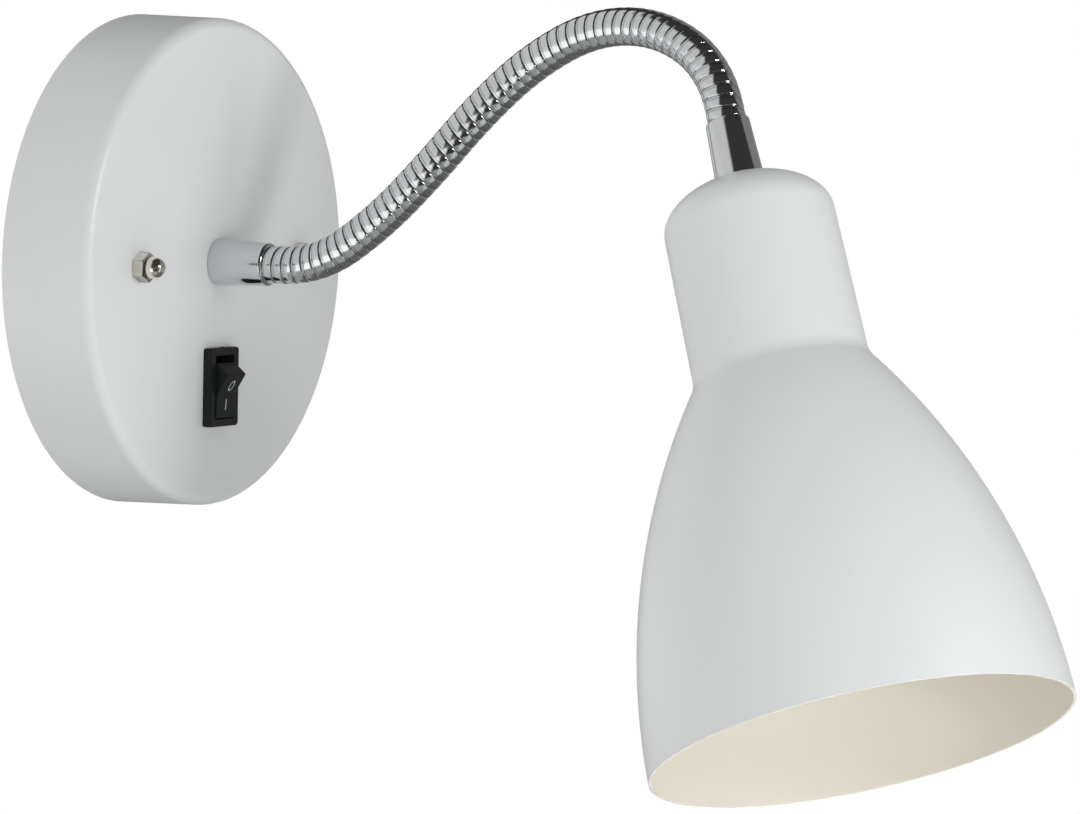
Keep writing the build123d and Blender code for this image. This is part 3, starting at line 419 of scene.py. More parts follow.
def turn_section(name, section, place, sides, material, sharp=40.0):
    """Turn a closed section of (radius, height) points about its axis and stand it in a frame."""
    bm = bmesh.new()
    rings = []
    for r, h in section:
        if r < ON_AXIS:
            rings.append([bm.verts.new((0, 0, h))] * sides)
            continue
        angles = [2 * math.pi * side / sides for side in range(sides)]
        rings.append([bm.verts.new((r * math.cos(angle), r * math.sin(angle), h)) for angle in angles])
    for ring, following in zip(rings, rings[1:] + rings[:1]):
        for side in range(sides):
            corners = (ring[side], ring[(side + 1) % sides], following[(side + 1) % sides], following[side])
            distinct = list(dict.fromkeys(corners))
            if len(distinct) > 2:
                bm.faces.new(distinct)
    bmesh.ops.recalc_face_normals(bm, faces=bm.faces)
    return finish_mesh(name, bm, place, material, sharp)


def add_object(name, data):
    """Put an object with this data into the scene."""
    made = bpy.data.objects.new(name, data)
    bpy.context.scene.collection.objects.link(made)
    return made


def finish_mesh(name, bm, place, material, sharp=40.0):
    """Turn a bmesh into an object at the origin, its place in its mesh."""
    mesh = bpy.data.meshes.new(name)
    bm.transform(place)
    bm.to_mesh(mesh)
    bm.free()
    mesh.shade_smooth()
    mesh.set_sharp_from_angle(angle=math.radians(sharp))
    mesh.materials.append(material)
    return add_object(name, mesh)


# %% Mark rings and say what a piece stands for
def mark_rings(piece, name, value, first, last, sides):
    """Store a value on some of a turned shell's rings, which are counted from its section's first point."""
    mark = piece.data.attributes.new(name, "FLOAT", "POINT")
    for index in range(first * sides, last * sides):
        mark.data[index].value = value


def stands_for(piece, body, node):
    """Put a piece on its body, hide the CAD node it replaces, and print its name, faces and body."""
    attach(piece, body)
    if node:
        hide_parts(node)
    print(f"{piece.name}: {len(piece.data.polygons)} faces on {body}")
    return piece


# %% [markdown]
# Holes are cut with Blender's Boolean modifier, which is then applied. A helper evaluates an object and
# keeps the result as a plain mesh; Geometry Nodes use the same helper later.

# %% Apply modifiers and cut holes
def plain(piece):
    """Replace an object's data with its evaluated mesh and drop its modifiers."""
    bpy.context.view_layer.update()
    graph = bpy.context.evaluated_depsgraph_get()
    mesh = bpy.data.meshes.new_from_object(piece.evaluated_get(graph))
    name = piece.name
    bpy.data.objects.remove(piece)
    mesh.name = name
    return add_object(name, mesh)


def cut(piece, cutter, operation="DIFFERENCE"):
    """Cut a piece with another, which is used up."""
    modifier = piece.modifiers.new("cut", "BOOLEAN")
    modifier.operation = operation
    modifier.solver = "EXACT"
    modifier.object = cutter
    made = plain(piece)
    bpy.data.objects.remove(cutter)
    return made


def block(name, low, high, place, material):
    """A box between two corners, used as a cutter."""
    bm = bmesh.new()
    bmesh.ops.create_cube(bm, size=1)
    size = Vector(high) - Vector(low)
    middle = (Vector(high) + Vector(low)) / 2
    bm.transform(Matrix.Translation(middle) @ Matrix.Diagonal((*size, 1)))
    return finish_mesh(name, bm, place, material)


def round_bar(name, radius, low, high, place, material, sides=48):
    """A plain round bar along z, used as a cutter."""
    return turn_section(name, [(0, low), (radius, low), (radius, high), (0, high)], place, sides, material)


# %% [markdown]
# ## The wall plate
#
# The plate is a shallow pressed cup. Its rim leans in by about a degree, and the front edge is rolled to a
# 3 mm radius that catches the light as a pale line. The hole for the ferrule, the two for the studs and the
# cut-out for the switch are cut through, so the plate is right from behind as well.

# %% Turn the wall plate and cut its holes
PLATE_WALL = 1.2 * MM
PLATE_EDGE = 3.0 * MM
RIM_EDGE = 0.35 * MM
RIM_LEAN = math.radians(1.1)
FRONT_RADIUS = PLATE_RADIUS - PLATE_DEPTH * math.tan(RIM_LEAN)
TAIL_HOLE = 5.25
STUD_HOLE = 2.25
STUD_OFFSET = 40.0 * MM
SWITCH_DROP = 33.2 * MM
CUTOUT_HALF_WIDTH = 6.5 * MM
CUTOUT_HALF_LENGTH = 9.6 * MM

plate_section = rounded([
    (0, PLATE_DEPTH, 0),
    (FRONT_RADIUS, PLATE_DEPTH, PLATE_EDGE),
    (PLATE_RADIUS, 0, RIM_EDGE),
    (PLATE_RADIUS - PLATE_WALL, 0, RIM_EDGE),
    (FRONT_RADIUS - PLATE_WALL, PLATE_DEPTH - PLATE_WALL, PLATE_EDGE - PLATE_WALL),
    (0, PLATE_DEPTH - PLATE_WALL, 0),
], 10)
plate = turn_section("wall_plate", plate_section, WALL, 256, white_paint)
plate = cut(plate, round_bar("cutter", TAIL_HOLE * MM, 0, 2 * PLATE_DEPTH, WALL, white_paint))
for side in (-1, 1):
    spot = WALL @ Matrix.Translation((side * STUD_OFFSET, 0, 0))
    plate = cut(plate, round_bar("cutter", STUD_HOLE * MM, 0, 2 * PLATE_DEPTH, spot, white_paint, 32))
plate = cut(plate, block(
    "cutter",
    (-CUTOUT_HALF_WIDTH, -SWITCH_DROP - CUTOUT_HALF_LENGTH, PLATE_DEPTH / 2),
    (CUTOUT_HALF_WIDTH, -SWITCH_DROP + CUTOUT_HALF_LENGTH, PLATE_DEPTH * 2),
    WALL, white_paint,
))
plate.data.set_sharp_from_angle(angle=math.radians(40))
stands_for(plate, "wall_unit", "canopy")

# %% [markdown]
# ## The shade
#
# The shade is spun from sheet: a domed crown, a straight neck, then a bell that leaves the waist steeply and
# closes in until its wall is almost in line with the axis at the mouth. The crown is a Bezier curve and the
# bell one circle arc that is tangent to the mouth. The inner side is the same curve set in by the wall. Its
# points are marked, from the crest of the lip inwards, so that the colour can turn warmer there. The section
# is drawn in millimetres and scaled when it is turned.

# %% Draw the shade's section
SHADE_WALL = 0.8 * MM
CROWN = [Vector((6.6, 0)), Vector((15.2, 1.9)), Vector((21.6, 6.2)), Vector((22.0, 11.9))]
WAIST = Vector((22.6, 52.3))
MOUTH = Vector((54.3, 150.2))
WAIST_BEND = 7.0
MOUTH_LEAN = math.radians(1.0)
LIP_BULGE = 0.12
SHADE_SIDES = 224


def bezier_points(corners, steps):
    """Points along a cubic Bezier curve."""
    points = []
    for step in range(steps + 1):
        t = step / steps
        weights = ((1 - t) ** 3, 3 * t * (1 - t) ** 2, 3 * t * t * (1 - t), t ** 3)
        points.append(sum((corner * weight for corner, weight in zip(corners, weights)), Vector((0, 0))))
    return points


def bell_points(steps):
    """Points along the arc from the waist to the mouth, tangent to the wall's lean at the mouth."""
    tangent = Vector((-math.sin(MOUTH_LEAN), -math.cos(MOUTH_LEAN)))
    inward = Vector((tangent.y, -tangent.x))
    chord = WAIST - MOUTH
    radius = chord.length_squared / (2 * chord.dot(inward))
    centre = MOUTH + inward * radius
    first = WAIST - centre
    sweep = first.angle_signed(MOUTH - centre)
    return [centre + turned(first, -sweep * step / steps) for step in range(steps + 1)]


# %% Soften the waist and set the inner side in
def soften(points, corner, radius, steps=10):
    """Replace the corner nearest a point of a polyline by an arc-like Bezier bend of a radius."""
    index = min(range(len(points)), key=lambda i: (points[i] - corner).length)
    before = (points[index - 1] - points[index]).normalized()
    after = (points[index + 1] - points[index]).normalized()
    half = before.angle(after) / 2
    reach = radius / math.tan(half)
    kept_before = [p for p in points[:index] if (p - corner).length > reach]
    kept_after = [p for p in points[index + 1:] if (p - corner).length > reach]
    a = corner + before * reach
    b = corner + after * reach
    handle = 0.6 * reach
    return kept_before + bezier_points([a, a - before * handle, b - after * handle, b], steps) + kept_after


def set_in(points, wall):
    """The same polyline moved to its inner side by the wall."""
    moved = []
    for index, point in enumerate(points):
        before = points[max(index - 1, 0)]
        after = points[min(index + 1, len(points) - 1)]
        along = (after - before).normalized()
        moved.append(point + Vector((-along.y, along.x)) * wall)
    return moved


outer = soften(bezier_points(CROWN, 16) + bell_points(48), WAIST, WAIST_BEND)
inner = set_in(outer, SHADE_WALL / MM)
print("shade section:", len(outer), "points outside; inner mouth radius", round(inner[-1].x, 2), "mm")

# %% Turn the shade and mark its inside
lip_middle = (outer[-1] + inner[-1]) / 2 + Vector((0, LIP_BULGE))
outside = [Vector((TAIL_HOLE, 0))] + outer
inside = [lip_middle] + inner[::-1] + [Vector((TAIL_HOLE, SHADE_WALL / MM))]
section = [point * MM for point in outside + inside]
shade = turn_section("bell_shade", section, SHADE, SHADE_SIDES, white_paint)
mark_rings(shade, "Inner", 1.0, len(outside), len(section), SHADE_SIDES)
stands_for(shade, "head", "shade")

# %% [markdown]
# ## Ferrules and domed nuts
#
# The two ferrules are the same turned piece: a cone 16 mm long with a soft shoulder, and a threaded tail
# below its foot. The small rounded edge of the foot sits in a dark gap, so shade is painted on it through the
# mesh mark that darkens the metal. The domed nuts are a hexagon whose corners are turned off, joined to a
# dome. One nut is modelled, then Geometry Nodes sets it down at both studs.

# %% Turn the ferrules
FERRULE_LENGTH = 16.0 * MM
FERRULE_FOOT = 6.3 * MM
FERRULE_TIP = 5.65 * MM
HOSE_CORE = 4.35 * MM
HOSE_BORE = 3.2 * MM
HOSE_SEAT = 6.0 * MM
FERRULE_SIDES = 96
FOOT_RINGS = (1, 7)
FOOT_PAINTED_SHADE = 0.9
PLATE_FRONT = WALL @ Matrix.Translation((0, 0, PLATE_DEPTH))
HALF_TURN = Matrix.Rotation(math.pi, 4, "X")


def ferrule(name, place):
    """The body of a ferrule: foot on z = 0, tip up, hollow for the hose above and the wires below."""
    section = rounded([
        (HOSE_BORE, 0, 0),
        (FERRULE_FOOT, 0, 0.3 * MM),
        (FERRULE_TIP, FERRULE_LENGTH, 0.8 * MM),
        (HOSE_CORE, FERRULE_LENGTH, 0.12 * MM),
        (HOSE_CORE, FERRULE_LENGTH - HOSE_SEAT, 0),
        (HOSE_BORE, FERRULE_LENGTH - HOSE_SEAT, 0),
    ], 8)
    made = turn_section(name, section, place, FERRULE_SIDES, chrome, 35)
    # Painted shade on the rounded edge of the foot, where it sits in a dark gap.
    mark_rings(made, "Groove", FOOT_PAINTED_SHADE, *FOOT_RINGS, FERRULE_SIDES)
    return made


stands_for(ferrule("ferrule_at_plate", PLATE_FRONT), "wall_unit", "base_ferrule")
stands_for(ferrule("ferrule_at_shade", SHADE @ HALF_TURN), "head", "head_ferrule")

# %% Model one domed nut
NUT_FLATS = 7.0 * MM
NUT_HEX = 3.4 * MM
NUT_HEIGHT = 7.6 * MM
NUT_DOME = 2.9 * MM
NUT_SIDES = 64
DOME_STEPS = 16
nut_corner = NUT_FLATS / 2 / math.cos(math.radians(30))
nut_bevel = (nut_corner - NUT_FLATS / 2) * 0.6

bm = bmesh.new()
bmesh.ops.create_cone(bm, cap_ends=True, segments=6, radius1=nut_corner, radius2=nut_corner, depth=NUT_HEX)
bm.transform(Matrix.Translation((0, 0, NUT_HEX / 2)))
nut = finish_mesh("domed_nut", bm, Matrix.Identity(4), nickel)
blank = [Vector(point) for point in (
    (0, -MM), (nut_corner - nut_bevel, 0), (nut_corner, nut_bevel * 0.6), (nut_corner, NUT_HEX - nut_bevel),
    (NUT_DOME + 0.2 * MM, NUT_HEX), (0, NUT_HEX + MM),
)]
nut = cut(nut, turn_section("turned", blank, Matrix.Identity(4), NUT_SIDES, nickel), "INTERSECT")
dome = [(0, NUT_HEX - MM), (NUT_DOME, NUT_HEX - MM)]
for step in range(DOME_STEPS):
    angle = math.pi / 2 * step / DOME_STEPS
    dome.append((NUT_DOME * math.cos(angle), NUT_HEIGHT - NUT_DOME + NUT_DOME * math.sin(angle)))
dome.append((0, NUT_HEIGHT))
nut = cut(nut, turn_section("dome", dome, Matrix.Identity(4), NUT_SIDES, nickel), "UNION")
bevel = nut.modifiers.new("bevel", "BEVEL")
bevel.width = 0.12 * MM
bevel.segments = 2
bevel.limit_method = "ANGLE"
bevel.angle_limit = math.radians(32)
nut = plain(nut)
print("one nut:", len(nut.data.polygons), "faces")

# %% [markdown]
# A Geometry Nodes tree is built the same way as a shader. A helper makes the group with its named inputs,
# puts it on an object as a modifier, sets the inputs by their identifiers and keeps the evaluated mesh.

# %% A helper for Geometry Nodes
def start_tree(name, sockets):
    """A geometry node group with named inputs; returns the group and a Signal for each input."""
    tree = bpy.data.node_groups.new(name, "GeometryNodeTree")
    tree.interface.new_socket("Geometry", in_out="OUTPUT", socket_type="NodeSocketGeometry")
    for label, kind in sockets.items():
        tree.interface.new_socket(label, in_out="INPUT", socket_type=kind)
    source = tree.nodes.new("NodeGroupInput")
    return tree, {label: Signal(tree, source.outputs[label]) for label in sockets}


def end_tree(geometry, material):
    """Realize the instances, set the finish and give the result to the group's output."""
    real = geometry.node("GeometryNodeRealizeInstances", {}, {"Geometry": geometry})
    done = real.node("GeometryNodeSetMaterial", {}, {"Geometry": real, "Material": material})
    sink = geometry.tree.nodes.new("NodeGroupOutput")
    geometry.tree.links.new(done.socket, sink.inputs[0])


def grow(name, tree, values):
    """Run a tree with these inputs, the rest being 0, and return the result as a plain mesh object."""
    host = add_object(name, bpy.data.meshes.new(name))
    modifier = host.modifiers.new(name, "NODES")
    modifier.node_group = tree
    for item in tree.interface.items_tree:
        if item.in_out == "INPUT" and item.name in values:
            modifier[item.identifier] = values[item.name]
    return plain(host)


# %% Set the nut down at both studs
tree, given = start_tree("two_nuts", {
    "Nut": "NodeSocketObject", "First": "NodeSocketVector", "Step": "NodeSocketVector",
    "Turn": "NodeSocketRotation", "Material": "NodeSocketMaterial",
})
line = given["Nut"].node(
    "GeometryNodeMeshLine", {"mode": "OFFSET"},
    {"Count": 2, "Start Location": given["First"], "Offset": given["Step"]},
)
shape = given["Nut"].node("GeometryNodeObjectInfo", {}, {"Object": given["Nut"]}, "Geometry")
end_tree(line.node(
    "GeometryNodeInstanceOnPoints", {}, {"Points": line, "Instance": shape, "Rotation": given["Turn"]}
), given["Material"])
nuts = grow("domed_nuts", tree, {
    "Nut": nut, "First": (-STUD_OFFSET, -PLATE_DEPTH, 0), "Step": (2 * STUD_OFFSET, 0, 0),
    "Turn": (math.pi / 2, 0, 0), "Material": nickel,
})
bpy.data.objects.remove(nut)
stands_for(nuts, "wall_unit", "cap_nuts")

# %% [markdown]
# ## The gooseneck's line
#
# The hose leaves the plate's ferrule straight, runs through eight arcs that touch one another, and enters the
# shade's ferrule straight. The headings between the arcs were measured from the photograph. A Bezier curve
# with handles of the right length follows each arc to within a few thousandths of a millimetre. The line
# goes on for two pitches inside each ferrule, where the hose is seated.

# %% Follow the headings along the hose
NECK_LENGTH = 171.4
NECK_STRAIGHT = 4.0
NECK_HEADINGS = ((0, 0), (35, 5), (45, 7), (50, 14), (43, 11), (27, 1), (0, -8), (-28, -15), (-66, -29.5))
RIBS = (14, 15, 15, 14)
PITCH = NECK_LENGTH / sum(RIBS)
SEATED_RIBS = 2
SEATED = SEATED_RIBS * PITCH
LINE_RIBS = sum(RIBS) + 2 * SEATED_RIBS


def heading(climb, swing):
    """Unit vector for a climb and a swing in degrees; (0, 0) points straight out of the wall."""
    climb, swing = math.radians(climb), math.radians(swing)
    return Vector((math.sin(swing) * math.cos(climb), -math.cos(swing) * math.cos(climb), math.sin(climb)))


def neck_stations():
    """(point, direction, reach of the handle behind, reach of the handle ahead, distance) along the hose."""
    directions = [heading(*pair) for pair in NECK_HEADINGS]
    arc = (NECK_LENGTH - 2 * NECK_STRAIGHT) / (len(directions) - 1)
    here = Vector((0, -PLATE_DEPTH / MM - FERRULE_LENGTH / MM, 0))
    seat = SEATED
    straight = (seat + NECK_STRAIGHT) / 3
    stations = [(here - directions[0] * seat, directions[0], seat / 3, straight, -seat)]
    here = here + directions[0] * NECK_STRAIGHT
    distance = NECK_STRAIGHT
    behind = straight
    for first, second in zip(directions, directions[1:]):
        turn = first.angle(second)
        radius = arc / turn
        ahead = 4 / 3 * math.tan(turn / 4) * radius
        stations.append((here.copy(), first, behind, ahead, distance))
        behind = ahead
        here = here + (first + second).normalized() * 2 * radius * math.sin(turn / 2)
        distance += arc
    stations.append((here.copy(), directions[-1], behind, straight, distance))
    end = here + directions[-1] * (seat + NECK_STRAIGHT)
    stations.append((end, directions[-1], straight, seat / 3, NECK_LENGTH + seat))
    return stations


stations = neck_stations()
print("the hose ends at", [round(value, 2) for value in stations[-1][0]])


# %% Find a point on the line and lay it as a Bezier curve
def neck_point(distance):
    """A point of the hose's line and its direction there, in metres, by a distance in millimetres."""
    for first, second in zip(stations, stations[1:]):
        if distance <= second[4]:
            share = (distance - first[4]) / (second[4] - first[4])
            a, b = first[0], first[0] + first[1] * first[3]
            d, c = second[0], second[0] - second[1] * second[2]
            u = 1 - share
            point = a * u ** 3 + b * 3 * u * u * share + c * 3 * u * share ** 2 + d * share ** 3
            slope = (b - a) * u * u + (c - b) * 2 * u * share + (d - c) * share * share
            return point * MM, slope.normalized()
    return stations[-1][0] * MM, stations[-1][1]


def lay_line(name, spots, shift=Vector((0, 0, 0))):
    """A Bezier curve object through (point, direction, reach behind, reach ahead) stations in millimetres."""
    data = bpy.data.curves.new(name, "CURVE")
    data.dimensions = "3D"
    data.resolution_u = 48
    spline = data.splines.new("BEZIER")
    spline.bezier_points.add(len(spots) - 1)
    for knot, (point, direction, behind, ahead, *_rest) in zip(spline.bezier_points, spots):
        knot.handle_left_type = knot.handle_right_type = "FREE"
        knot.co = (point + shift) * MM
        knot.handle_left = (point + shift - direction * behind) * MM
        knot.handle_right = (point + shift + direction * ahead) * MM
    return add_object(name, data)


neck_line = lay_line("neck_line", stations)
print("knots in the line:", len(neck_line.data.splines[0].bezier_points))

# %% [markdown]
# ## A ribbed tube along a line
#
# One tree makes everything that is round, long and grooved: the hose, the wires in it and the screw threads.
# It cuts the line into even steps, notes the number of each ring and sweeps a circle along the line. Then
# every point moves out or in: its phase is its distance divided by the pitch, plus how far round it is when
# the groove is a helix. Near phase 0 lies the groove, and elsewhere the crowned band. The tree also paints
# shade: it notes how far down each point lies, adds the strip's thin second seam, and stores both as
# Groove, so that the metal is painted darker in the grooves and along the seam.

# %% Sweep a circle along the line
TUBE_SIZES = (
    "Step", "Radius", "Pitch", "Turns", "Floor", "Flank", "Depth", "Crown", "Plain Radius",
    "Ribs From", "Ribs To", "From", "To",
)
SEAM_AT = 0.24
SEAM_HALF = 0.09
SEAM_DARKNESS = 0.8

tube_tree, given = start_tree("ribbed_tube", {
    "Line": "NodeSocketObject", "Rings": "NodeSocketInt", "Sides": "NodeSocketInt",
    **{size: "NodeSocketFloat" for size in TUBE_SIZES}, "Material": "NodeSocketMaterial",
})
source = given["Line"].node(
    "GeometryNodeObjectInfo", {"transform_space": "ORIGINAL"}, {"Object": given["Line"]}, "Geometry"
)
even = source.node(
    "GeometryNodeResampleCurve", {"mode": "COUNT"}, {"Curve": source, "Count": given["Rings"]}
)
ring = source.node("GeometryNodeInputIndex")
middle = source.node("GeometryNodeInputPosition")
noted = even.node(
    "GeometryNodeCaptureAttribute",
    {"captures": (("FLOAT", "Ring"), ("VECTOR", "Middle")), "domain": "POINT"},
    {"Geometry": even, "Ring": ring, "Middle": middle}, "Geometry",
)
circle = source.node(
    "GeometryNodeCurvePrimitiveCircle", {}, {"Resolution": given["Sides"], "Radius": given["Radius"]}, "Curve"
)
round_it = source.node("GeometryNodeSplineParameter", output="Factor")
noted_circle = circle.node(
    "GeometryNodeCaptureAttribute", {"captures": (("FLOAT", "Around"),), "domain": "POINT"},
    {"Geometry": circle, "Around": round_it}, "Geometry",
)
swept = noted.node(
    "GeometryNodeCurveToMesh", {}, {"Curve": noted, "Profile Curve": noted_circle, "Fill Caps": False}
)

# %% Move the points to the ribs
along = noted.other("Ring") * given["Step"]
around = noted_circle.other("Around")
phase = along / given["Pitch"] + around * given["Turns"]
share = phase.math("FRACT", phase)
to_groove = phase.math("MINIMUM", share, 1.0 - share)
band = ((to_groove - given["Floor"] * 0.5) / given["Flank"]).clamp()
smooth_band = band * band * (3.0 - band * 2.0)
crown = phase.math("SINE", to_groove * math.pi)
seam = (1.0 - phase.math("ABSOLUTE", share - SEAM_AT) / SEAM_HALF).clamp()
ribbed = given["Radius"] - given["Depth"] * (1.0 - smooth_band) + given["Crown"] * (crown - 1.0) * smooth_band
past_start = phase.math("GREATER_THAN", along, given["Ribs From"])
in_ribs = past_start * phase.math("LESS_THAN", along, given["Ribs To"])
radius = given["Plain Radius"] + (ribbed - given["Plain Radius"]) * in_ribs
place = swept.node("GeometryNodeInputPosition")
outward = place.vector("NORMALIZE", place.vector("SUBTRACT", place, noted.other("Middle")))
offset = place.node("ShaderNodeVectorMath", {"operation": "SCALE"}, {0: outward, "Scale": radius})
moved_to = place.vector("ADD", noted.other("Middle"), offset)
moved = swept.node("GeometryNodeSetPosition", {}, {"Geometry": swept, "Position": moved_to})

# %% Mark painted shade in the grooves and cut the tube to length
# Painted shade: the further down in a groove a point lies, the darker the metal is painted; the seam is the
# strip's own dark joint.
painted_groove_shade = (1.0 - smooth_band * 2.0).clamp()
moved = moved.node(
    "GeometryNodeStoreNamedAttribute", {"data_type": "FLOAT", "domain": "POINT"},
    {"Geometry": moved, "Name": "Groove", "Value": (painted_groove_shade + seam * SEAM_DARKNESS) * in_ribs},
)
too_early = phase.math("LESS_THAN", along, given["From"])
outside = phase.math("MAXIMUM", too_early, phase.math("GREATER_THAN", along, given["To"]))
kept = moved.node(
    "GeometryNodeDeleteGeometry", {"domain": "POINT"}, {"Geometry": moved, "Selection": outside}
)
smooth = kept.node("GeometryNodeSetShadeSmooth", {}, {"Geometry": kept, "Shade Smooth": True})
end_tree(smooth, given["Material"])
print("nodes in the ribbed tube's tree:", len(tube_tree.nodes))

# %% [markdown]
# ## The hose and the wires in it
#
# The hose is cut where the CAD model cuts it, because each stretch bends about a joint of its own. Rings lie
# exactly on the cuts, so neighbouring stretches share their last ring. The ribs' span is a hair longer than
# the hose in view, so that rounding can't drop its end rings.

# %% Where each stretch ends
RINGS_PER_RIB = 24
HOSE_SIDES = 48
HOSE_RADIUS = 5.0
SEATED_RADIUS = 4.3
HOSE_WALL = 0.45
HOSE_RIBS = {"Turns": 1.0, "Floor": 0.03, "Flank": 0.06, "Depth": 0.40 * MM, "Crown": 0.09 * MM}
HAIR = 0.01
BEND_MARGIN = 3.0
STRETCHES = ("gooseneck_root", "gooseneck_rise", "gooseneck_crest", "gooseneck_drop")
CUTS = [PITCH * sum(RIBS[:index]) for index in range(len(RIBS) + 1)]


def bend_stretch(piece, index):
    """Bake a piece's place into its mesh; where its stretch would bend between two bodies is worked out but
    not used.
    """
    start = neck_point(CUTS[index] + BEND_MARGIN)[0]
    end = neck_point(CUTS[index + 1] - BEND_MARGIN)[0]
    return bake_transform(piece)


def stretch_limits(index, per_rib):
    """Where a stretch starts and ends along the whole line, a quarter of a step outside its rings."""
    margin = PITCH / per_rib / 4
    start = -margin if index == 0 else CUTS[index] + SEATED - margin
    end = CUTS[index + 1] + SEATED + margin + (SEATED if index == len(RIBS) - 1 else 0)
    return start * MM, end * MM


# %% Give a tube its wall
def solid_wall(piece, thickness, sides):
    """Turn an open tube's faces outwards, give it a wall inwards and close its rims."""
    bm = bmesh.new()
    bm.from_mesh(piece.data)
    bm.verts.ensure_lookup_table()
    bm.faces.ensure_lookup_table()
    middle = sum((vert.co for vert in bm.verts[:sides]), Vector()) / sides
    near = min(bm.faces, key=lambda face: (face.calc_center_median() - bm.verts[0].co).length)
    if near.normal.dot(near.calc_center_median() - middle) < 0:
        bmesh.ops.reverse_faces(bm, faces=bm.faces)
    bm.to_mesh(piece.data)
    bm.free()
    modifier = piece.modifiers.new("wall", "SOLIDIFY")
    modifier.thickness = thickness
    modifier.offset = -1
    return plain(piece)


# %% Grow the hose in four stretches
for index, node in enumerate(STRETCHES):
    start, end = stretch_limits(index, RINGS_PER_RIB)
    stretch = grow(node + "_hose", tube_tree, {
        **HOSE_RIBS, "Line": neck_line, "Rings": LINE_RIBS * RINGS_PER_RIB + 1, "Sides": HOSE_SIDES,
        "Step": PITCH * MM / RINGS_PER_RIB, "Radius": HOSE_RADIUS * MM, "Pitch": PITCH * MM,
        "Plain Radius": SEATED_RADIUS * MM, "Ribs From": (SEATED - HAIR) * MM,
        "Ribs To": (SEATED + NECK_LENGTH + HAIR) * MM, "From": start, "To": end, "Material": chrome,
    })
    stretch = solid_wall(stretch, HOSE_WALL * MM, HOSE_SIDES)
    bend_stretch(stretch, index)
    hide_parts(node)

# %% [markdown]
# The two cores in the hose run whole from the plate to the lampholder. Inside the hose each follows the same
# line, set to one side, and is cut exactly like the hose. A lead at each end stays with its body.

# %% Draw the leads at the ends of a core
CORE_RADIUS = 0.9
CORE_OFFSET = 1.25
CORE_RINGS_PER_RIB = 4
LEAD_RINGS = 160
LEAD_BEND = 4.6
TAIL_MOUTH = 16.1
POST_OFFSET = 5.6
LEAD_HEIGHTS = (10.5, 13.0, 17.0, 20.0)
plain_core = {
    "Sides": 20, "Radius": CORE_RADIUS * MM, "Plain Radius": CORE_RADIUS * MM, "Pitch": PITCH * MM,
    "Flank": 1.0,
}


def lay_lead(name, points):
    """A smooth curve object that starts and ends at the first and last of these points, in metres."""
    data = bpy.data.curves.new(name, "CURVE")
    data.dimensions = "3D"
    data.resolution_u = 24
    spline = data.splines.new("NURBS")
    spline.points.add(len(points) - 1)
    for knot, point in zip(spline.points, points):
        knot.co = (*point, 1)
    spline.order_u = 3
    spline.use_endpoint_u = True
    return add_object(name, data)


def close_ends(piece):
    """Fill the two open ends of a tube."""
    bm = bmesh.new()
    bm.from_mesh(piece.data)
    bmesh.ops.holes_fill(bm, edges=[edge for edge in bm.edges if edge.is_boundary])
    bmesh.ops.recalc_face_normals(bm, faces=bm.faces)
    bm.to_mesh(piece.data)
    bm.free()
    return piece


def lead(name, points, material):
    """One end of a core, drawn through its route points."""
    line = lay_lead(name + "_line", points)
    made = close_ends(grow(name, tube_tree, {
        **plain_core, "Line": line, "Rings": LEAD_RINGS, "Step": 1.0, "From": -1.0, "To": float(LEAD_RINGS),
        "Material": material,
    }))
    bpy.data.objects.remove(line)
    return made


# %% Lay the two cores through the hose
def core(name, node, side, wall_points, material):
    """A whole core: its lead in the plate, four stretches in the hose and its lead in the lampholder."""
    shift = Vector((side * CORE_OFFSET, 0, 0))
    line = lay_line(name + "_line", stations, shift)
    for index in range(len(RIBS)):
        start, end = stretch_limits(index, CORE_RINGS_PER_RIB)
        made = close_ends(grow(f"{name}_{index + 1}", tube_tree, {
            **plain_core, "Line": line, "Rings": LINE_RIBS * CORE_RINGS_PER_RIB + 1,
            "Step": PITCH * MM / CORE_RINGS_PER_RIB, "From": start, "To": end, "Material": material,
        }))
        bend_stretch(made, index)
        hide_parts(node)
    bpy.data.objects.remove(line)
    first = Vector((side * CORE_OFFSET, -LEAD_BEND, 0)) * MM
    tail = Vector((side * CORE_OFFSET, -TAIL_MOUTH, 0)) * MM
    joined = (stations[0][0] + shift + stations[0][1] * 0.5) * MM
    wall_lead = lead(name + "_at_plate", [*wall_points, first, tail, joined], material)
    stands_for(wall_lead, "wall_unit", node)
    end = (stations[-1][0] + shift - stations[-1][1] * 0.5) * MM
    leaving = SHADE.inverted() @ end
    out_of_tail, on_post = (leaving.x, leaving.y), (side * POST_OFFSET * MM, 0)
    routes = zip((out_of_tail, out_of_tail, on_post, on_post), LEAD_HEIGHTS)
    points = [end] + [SHADE @ Vector((x, y, height * MM)) for (x, y), height in routes]
    stands_for(lead(name + "_at_lamp", points, material), "head", node)


def from_wall(*points):
    """Route points given in millimetres in the plate's frame, as points in metres."""
    return [WALL @ (Vector(point) * MM) for point in points]


core("live_core", "live_wire", -1, from_wall((0, -26.3, 9.1), (0, -21, 9.1), (-0.6, -12, 5)),
     brown_insulation)
core("neutral_core", "neutral_wire", 1, from_wall((10, 27, 5.9), (10, 19, 5.9), (6, 10, 5)),
     blue_insulation)

# %% [markdown]
# The same tree cuts screw threads. A thread is a groove whose phase moves by one for each turn, with no floor
# and flanks that meet. The tails of the ferrules are M10 with a pitch of 1 mm, and the brass shell of the
# lampholder is rolled with the coarse round thread of a small lamp. Each thread below is given by its outer
# radius, its wall, its pitch, its depth and its finish.

# %% Cut the threads
RINGS_PER_TURN = 12


